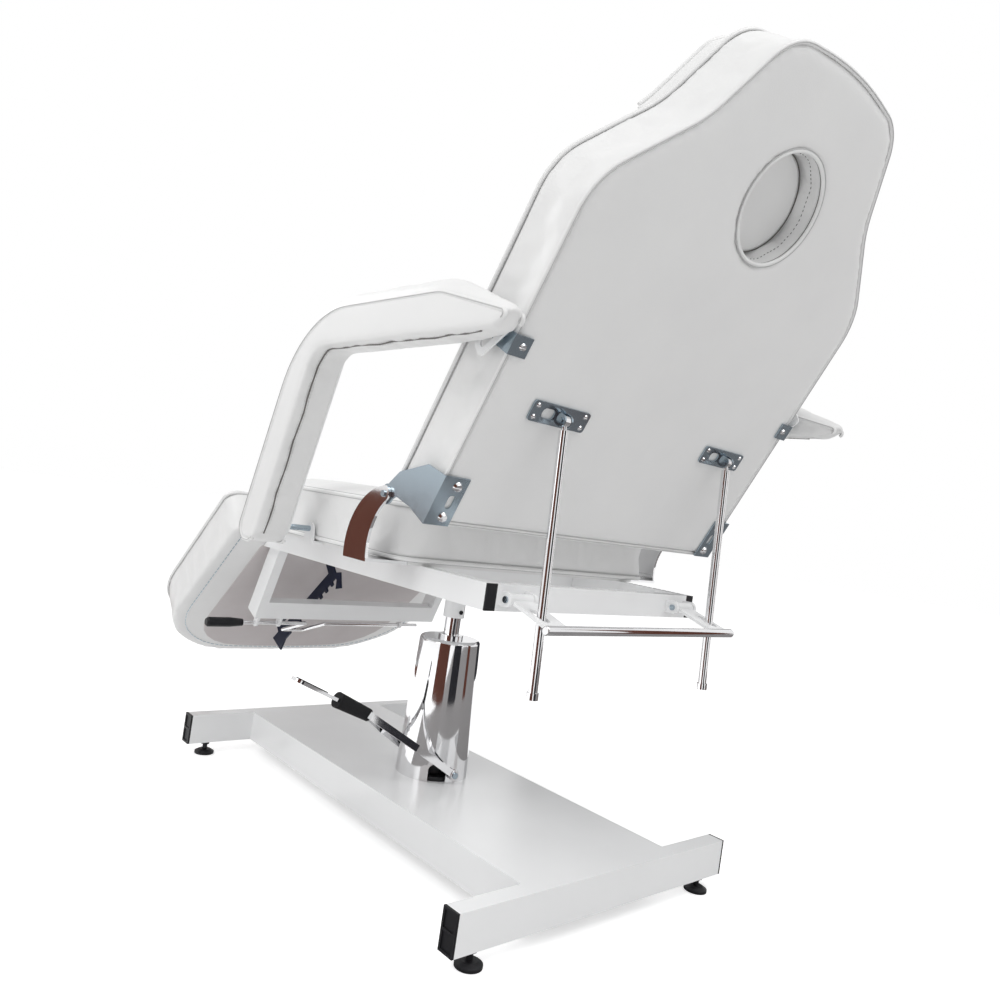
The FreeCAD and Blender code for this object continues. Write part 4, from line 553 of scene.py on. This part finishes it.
def boxed_freedom(place, seams, floor):
    """How far a boxed cushion may puff: not at its seams, not on its floor, freely between them."""
    into = place.inverted()
    held, margin = 2.0, 7.0

    def free(point):
        height = (into @ point).z
        if height < floor:
            return 0.0
        gap = min(abs(height - seam) for seam in seams)
        return min(1.0, max(0.0, (gap - held) / margin))
    return free


def make_boxed_cushion(name, outline, place, stations, seams, body, materials, hole=None):
    """A cushion with a piped boxing strip, blown up between its seams."""
    pad = lofted_block(name, outline, stations, place)
    if hole:
        drill(pad, place, *hole)
    remesh(pad, BOXED_VOXEL)
    puff(pad, boxed_freedom(place, seams, stations[1][0]), pressure=3.0, most=7.0)
    soften(pad)
    settle(pad, body, materials["white_vinyl"])
    out = place.to_3x3() @ Vector((0, 0, 1))
    for index, seam in enumerate(seams):
        path = [place @ Vector((p.x, p.y, seam)) for p in outline_points(outline, 1.5, 14, 4)]
        piped_edge(f"{name}_piping_{index + 1}", path, out, body, materials)
    return pad


def make_seat(materials):
    """The seat's cushion, piped at its lower and upper seams."""
    pad = make_boxed_cushion("seat_cushion", SEAT_OUTLINE, Matrix.Identity(4), SEAT_STATIONS, SEAT_SEAMS,
                             "seat_frame", materials)
    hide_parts("seat_pad")


def make_backrest(materials):
    """The backrest's cushion with its round face hole, the hole's piping, dark rings of painted crease shade
    and stitches coloured as painted fold shade.
    """
    centre = Vector((0, FACE_HOLE_UP))
    hole = (centre, FACE_HOLE_RADIUS, -40, 200)
    place = back_place()
    pad = make_boxed_cushion("backrest_cushion", BACK_OUTLINE, place, BACK_STATIONS, BACK_SEAMS, "backrest",
                             materials, hole)
    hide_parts("backrest_pad", "backrest_board")
    rear_height, front_height, bead_radius = 2.5, 116, 3.0
    for index, height in enumerate((rear_height, front_height)):
        ring = hole_ring(FACE_HOLE_RADIUS + 1, height)
        bead = tube(f"face_hole_piping_{index + 1}", ring, bead_radius, closed=True)
        settle(bead, "backrest", materials["white_vinyl"])
    # Thin grey and near-black rings at the hole's rim and inner wall: painted shade in the creases there
    creases = ((FACE_HOLE_RADIUS + 4.3, 0.8, "seam_shadow"), (FACE_HOLE_RADIUS - 0.3, 5.6, "deep_seam"))
    for index, (radius, height, tone) in enumerate(creases):
        ring = hole_ring(radius, height)
        crease = tube(f"face_hole_crease_{index + 1}", ring, CREASE_RADIUS, closed=True, sides=CREASE_SIDES)
        settle(crease, "backrest", materials[tone])
    # Stitches round the hole's wall, coloured near-black as painted shade of the wall's folds
    stitch_height = 24
    row = lay_on(pad, hole_ring(FACE_HOLE_RADIUS - 4, stitch_height), 0.3)
    stitch_row("face_hole_stitches", row, "backrest", materials["deep_seam"])


def hole_ring(radius, height):
    """Points of a ring round the face hole, at a height above the backrest's back face."""
    place = back_place()
    steps = 72
    turns = [math.tau * step / steps for step in range(steps)]
    return [place @ Vector((radius * math.cos(turn), FACE_HOLE_UP + radius * math.sin(turn), height))
            for turn in turns]


def make_pillow(materials):
    """The crescent pillow on the head of the backrest, piped round its edge and open round the face hole."""
    place = back_place()
    out = place.to_3x3() @ Vector((0, 0, 1))
    pillow = lofted_block("head_cushion", BACK_OUTLINE, PILLOW_STATIONS, place)
    trim(pillow, place @ Vector((0, PILLOW_START, 0)), place.to_3x3() @ Vector((0, 1, 0)))
    drill(pillow, place, Vector((0, FACE_HOLE_UP)), PILLOW_OPENING, 80, 200)
    carve(pillow, lofted_block("pad_space", BACK_OUTLINE, BACK_STATIONS, place))
    remesh(pillow, PILLOW_VOXEL)
    puff(pillow, lambda point: 1.0, pressure=2.0, most=3.0)
    soften(pillow)
    settle(pillow, "backrest", materials["white_vinyl"])
    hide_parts("head_pillow")
    ring = outline_points(BACK_OUTLINE, PILLOW_SEAM_INSET, 14, 6)
    path = [place @ Vector((p.x, p.y, PILLOW_SEAM)) for p in ring if p.y > PILLOW_START + 4]
    piped_edge("head_cushion_piping", path, out, "backrest", materials, closed=False)


def make_face_plug(materials):
    """The round cushion that fills the face hole, rounded from its CAD form."""
    plug = new_object("face_plug_cushion", NODES["face_plug"].data.copy())
    remesh(plug, PLUG_VOXEL)
    soften(plug)
    settle(plug, "face_plug", materials["white_vinyl"])
    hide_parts("face_plug")
    # A near-black ring where the plug meets the hole's wall: painted shade in the gap between them
    ring = hole_ring(FACE_HOLE_RADIUS - 5, 42)
    crease = tube("face_plug_crease", ring, 0.9, closed=True, sides=CREASE_SIDES)
    settle(crease, "face_plug", materials["deep_seam"])


def make_leg_rest(materials):
    """The leg rest's cushion, with the cloth and the staples under it."""
    place = leg_place()
    pad = make_boxed_cushion("leg_cushion", LEG_OUTLINE, place, LEG_STATIONS, LEG_SEAMS, "leg_rest",
                             materials)
    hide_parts("leg_pad", "leg_board")
    make_dust_cloth(place, materials)
    make_staples(place, materials)


def make_dust_cloth(place, materials):
    """A cloth panel stapled over the leg rest's underside."""
    builder = bmesh.new()
    outlines = [outline_points(CLOTH_OUTLINE, inset, 6, 10) for inset in (0.0, 2.0)]
    rings = [[builder.verts.new(place @ Vector((p.x, p.y, height)) * MM) for p in points]
             for height, points in zip(CLOTH_HEIGHTS, outlines)]
    join_rings(builder, rings)
    panel = finish_mesh("leg_dust_cloth", builder, smooth=False)
    settle(panel, "leg_rest", materials["dust_cloth"])


def make_staples(place, materials):
    """The row of staples that holds the cover under the leg rest."""
    staples = bmesh.new()
    shape = Matrix.Diagonal((*STAPLE_SIZE, 1))
    for spot, run in spaced(outline_points(LEG_OUTLINE, STAPLE_INSET), STAPLE_PITCH):
        turn = Matrix.Rotation(math.atan2(run.y, run.x), 4, "Z")
        spot_place = Matrix.Translation(Vector((spot.x, spot.y, -6.0))) @ turn @ shape
        bmesh.ops.create_cube(staples, size=1.0, matrix=Matrix.Scale(MM, 4) @ place @ spot_place)
    piece = finish_mesh("leg_staples", staples, smooth=False)
    settle(piece, "leg_rest", materials["zinc_steel"])


def make_armrests(materials):
    """Both padded armrests, with their piping and closing seam."""
    for side, word in ((1, "left"), (-1, "right")):
        body = f"armrest_{word}"
        pad = arm_block(f"armrest_cushion_{word}", side)
        remesh(pad, ARM_VOXEL)
        puff(pad, arm_freedom, pressure=2.0, most=4.0)
        soften(pad)
        settle(pad, body, materials["white_vinyl"])
        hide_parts(f"armrest_pad_{word}")
        make_arm_piping(side, word, body, materials)
        make_arm_seam(side, word, pad, body, materials)


def make_arm_piping(side, word, body, materials):
    """Piping along both edges of the domed side, from the tip over the top and down the post's front."""
    ring = outline_points(ARM_OUTLINE, 0.5, 14, 4)
    per_corner = len(ring) // len(ARM_OUTLINE)
    tip_corner = 4
    run = ring[tip_corner * per_corner:] + ring[:per_corner + 8]
    outwards = Vector((side, 0, 0))
    for label, across in (("inner", 0.045), ("outer", 0.955)):
        path = [arm_point(side, p.x, p.y, across) for p in run]
        piped_edge(f"armrest_{word}_{label}_piping", path, outwards, body, materials, closed=False)


def arm_taper(rear):
    """How far the armrest's inner side is drawn out, away from the backrest, at a fore-and-aft place."""
    start = ARM_TIP - ARM_TAPER_LENGTH
    share = min(1.0, max(0.0, (rear - start) / ARM_TAPER_LENGTH))
    return 0.6 * ARM_WIDTH * share ** 1.7


def arm_point(side, rear, height, across):
    """A point of an armrest. Across runs from 0 on its inner side to 1 on its outer side."""
    inner = ARM_INNER + arm_taper(rear)
    return Vector((side * (inner + (ARM_INNER + ARM_WIDTH - inner) * across), rear, height))


def arm_outline(rise):
    """Side outline of an armrest whose top is raised by the dome."""
    top = {5: 1.0, 6: 1.0, 4: 0.3}
    return [(y, z + rise * top.get(index, 0.0), radius) for index, (y, z, radius) in enumerate(ARM_OUTLINE)]


def arm_block(name, side):
    """The domed armrest, with its inner side drawn in towards the tip."""
    builder = bmesh.new()
    steps = 14
    rings = []
    for step in range(steps + 1):
        across = 0.5 - 0.5 * math.cos(math.pi * step / steps)
        share = (1 - (2 * across - 1) ** 2) ** 0.75
        inset = 5.0 * (1 - min(1.0, 4 * share))
        rings.append([builder.verts.new(arm_point(side, p.x, p.y, across) * MM)
                      for p in outline_points(arm_outline(share * ARM_DOME), inset)])
    join_rings(builder, rings)
    return finish_mesh(name, builder)


def arm_freedom(point):
    """How far an armrest may puff: not along its two piped edges, freely on its domed top and its sides."""
    margin = 9.0
    inner = ARM_INNER + arm_taper(point.y)
    across = (abs(point.x) - inner) / (ARM_INNER + ARM_WIDTH - inner)
    gap = min(abs(across - 0.05), abs(across - 0.95)) * ARM_WIDTH
    return min(1.0, gap / margin)


def make_arm_seam(side, word, pad, body, materials):
    """The stitched seam that closes the cover along the post's rear face and under the arm."""
    points = outline_points(ARM_OUTLINE, -0.2, 8, 12)

    def nearest(target):
        return min(range(len(points)), key=lambda index: (points[index] - target).length)

    foot = Vector((ARM_PIVOT_Y + 14, 520))
    end = Vector((ARM_TIP - 60, ARM_UNDER))
    run = points[nearest(foot):nearest(end) + 1]
    middle, spread = 0.7, 0.055
    sway, sway_length = 0.014, 13

    def row(offset):
        shares = [middle + offset + sway * math.sin(p.y / sway_length) for p in run]
        return [arm_point(side, p.x, p.y, share) for p, share in zip(run, shares)]

    # A near-black tube along the seam: painted shade of its groove; the stitch rows beside it are
    # thread-coloured
    groove = tube(f"armrest_{word}_seam", lay_on(pad, row(0.0), 0.5), 1.3, sides=CREASE_SIDES)
    settle(groove, body, materials["deep_seam"])
    for index, offset in enumerate((-spread, spread)):
        path = lay_on(pad, row(offset), 0.6)
        stitch_row(f"armrest_{word}_stitches_{index + 1}", path, body, materials["thread"])


def stitch_row(name, path, body, thread):
    """A row of short thread stitches along a path in millimetres."""
    builder = bmesh.new()
    shape = Matrix.Diagonal((STITCH_LENGTH * MM, STITCH_THICKNESS * MM, STITCH_THICKNESS * MM, 1))
    carry = 0.0
    for start, end in zip(path, path[1:]):
        run = end - start
        place = carry
        while place + STITCH_LENGTH < run.length:
            middle = start + run * ((place + STITCH_LENGTH / 2) / run.length)
            turn = run.to_track_quat("X", "Z").to_matrix().to_4x4()
            local = Matrix.Translation(middle * MM) @ turn @ shape
            bmesh.ops.create_uvsphere(builder, u_segments=6, v_segments=5, radius=0.5, matrix=local)
            place += STITCH_LENGTH + STITCH_GAP
        carry = max(0.0, place - run.length)
    row = finish_mesh(name, builder)
    settle(row, body, thread)


def piped_edge(name, path, side_way, body, materials, closed=True):
    """A welt of piping along a seam, with the shadowed crease on each side of it."""
    bead = tube(name, path, PIPING_RADIUS, closed=closed)
    settle(bead, body, materials["white_vinyl"])
    for index, way in enumerate((1, -1)):
        shift = side_way * (way * (PIPING_RADIUS + 0.1))
        beside = [point + shift for point in path]
        crease = tube(f"{name}_crease_{index + 1}", beside, CREASE_RADIUS, closed, CREASE_SIDES)
        settle(crease, body, materials["seam_shadow"])


# Stage, light and camera


def camera_rays(nodes, links):
    """1 for rays that show the backdrop, straight or reflected, and 0 for rays that light the object."""
    path = nodes.new("ShaderNodeLightPath")
    seen = nodes.new("ShaderNodeMath")
    seen.operation = "MAXIMUM"
    links.new(path.outputs["Is Camera Ray"], seen.inputs[0])
    links.new(path.outputs["Is Glossy Ray"], seen.inputs[1])
    either = nodes.new("ShaderNodeMath")
    either.operation = "MAXIMUM"
    links.new(seen.outputs[0], either.inputs[0])
    links.new(path.outputs["Is Transmission Ray"], either.inputs[1])
    return either.outputs[0]


def ring_card(name, azimuth, width, low, high, colour):
    """An upright card round the pump at an azimuth from +X towards +Y."""
    radius = 1.5
    turn = math.radians(azimuth)
    axis = PUMP_Y * MM
    middle = (low + high) / 2
    place = (radius * math.cos(turn), radius * math.sin(turn) + axis, middle)
    add_card(name, place, (0, axis, middle), width, high - low, colour)


def make_stage():
    """A pale floor that glows a little towards the camera, so that it meets the white backdrop unseen."""
    material, nodes, links, shader = new_material("studio_floor")
    shader.inputs["Base Color"].default_value = (0.9, 0.9, 0.9, 1)
    shader.inputs["Roughness"].default_value = 0.8
    shader.inputs["Emission Color"].default_value = (1.0, 1.0, 1.0, 1)
    glow = ramp_between(nodes, links, camera_rays(nodes, links), 0.0, 0.5)
    links.new(glow, shader.inputs["Emission Strength"])
    bpy.ops.mesh.primitive_plane_add(size=30)
    floor = bpy.context.object
    floor.name = "studio_floor"
    floor.location.z = -0.0005
    floor.data.materials.append(material)


def add_card(name, location, target, width, height, colour):
    """A card that only reflections see, so that the chrome has something to show."""
    bpy.ops.mesh.primitive_plane_add(size=1)
    card = bpy.context.object
    card.name = name
    card.scale = (width, height, 1)
    card.location = location
    card.rotation_euler = (Vector(target) - Vector(location)).to_track_quat("Z", "Y").to_euler()
    material, _, _, shader = new_material(name)
    shader.inputs["Base Color"].default_value = (*colour, 1)
    shader.inputs["Roughness"].default_value = 0.9
    card.data.materials.append(material)
    card.visible_camera = False
    card.visible_shadow = False
    card.visible_diffuse = False


def add_light(name, location, target, size, power):
    light = bpy.data.lights.new(name, "AREA")
    light.shape = "DISK"
    light.size = size
    light.energy = power
    lamp = bpy.data.objects.new(name, light)
    bpy.context.scene.collection.objects.link(lamp)
    lamp.location = location
    lamp.rotation_euler = (Vector(target) - Vector(location)).to_track_quat("-Z", "Y").to_euler()


def make_light():
    """A white backdrop that lights the object at about half its strength, and four soft lamps."""
    world = bpy.data.worlds.new("studio")
    bpy.context.scene.world = world
    world.use_nodes = True
    nodes, links = world.node_tree.nodes, world.node_tree.links
    backdrop = nodes["Background"]
    backdrop.inputs["Color"].default_value = (1.0, 1.0, 1.0, 1)
    links.new(ramp_between(nodes, links, camera_rays(nodes, links), 0.55, 1.0), backdrop.inputs["Strength"])
    middle = (0, 0, 0.6)
    add_light("key", (2.6, 0.4, 3.0), middle, 1.8, 24)
    add_light("rear", (-0.4, 2.2, 3.4), middle, 2.2, 36)
    add_light("front", (0.8, -3.2, 2.4), middle, 2.0, 24)
    add_light("low", (2.4, 0.5, 1.1), (0, 0, 0.1), 1.2, 5)
    make_reflections()


def make_reflections():
    """A grey floor and dark or brown upright cards that only reflections see."""
    dark, brown, grey = (0.02, 0.02, 0.026), (0.13, 0.042, 0.026), (0.3, 0.29, 0.29)
    add_card("floor_card", (-1.0, 1.7, 0.0003), (-1.0, 1.7, 1), 4.4, 3.6, grey)
    add_card("horn_card", (1.78, -2.15, 0.36), (0.35, 0.17, 0.56), 0.9, 0.5, brown)
    ring_card("card_front", -86, 0.7, 0.0, 1.0, brown)
    ring_card("card_left", 36, 1.05, 0.0, 1.2, brown)
    ring_card("card_rear", 85, 0.7, 0.0, 1.2, dark)
    ring_card("card_right", 131, 0.3, 0.0, 1.2, brown)
    ring_card("card_far", 200, 1.0, 0.0, 1.0, dark)


def make_camera():
    """The photograph's viewpoint, found by fitting the beams, rails and pump."""
    camera = bpy.data.cameras.new("camera")
    camera.sensor_width = 36
    camera.lens = 30.02
    holder = bpy.data.objects.new("camera", camera)
    bpy.context.scene.collection.objects.link(holder)
    right = Vector((-0.7392, 0.6577, 0.1453))
    up = Vector((0.1138, -0.0907, 0.9894))
    back = Vector((0.66383, 0.74784, -0.00784))
    holder.matrix_world = frame_matrix(right, up, back, Vector((1.0449, 1.2630 + PUMP_Y * MM, 0.6171)))
    bpy.context.scene.camera = holder


def set_view():
    bpy.context.scene.view_settings.view_transform = "Standard"


MATERIALS = make_materials()
dress_nodes(MATERIALS)
make_seat(MATERIALS)
make_backrest(MATERIALS)
make_pillow(MATERIALS)
make_face_plug(MATERIALS)
make_leg_rest(MATERIALS)
make_armrests(MATERIALS)
make_stage()
make_light()
make_camera()
set_view()
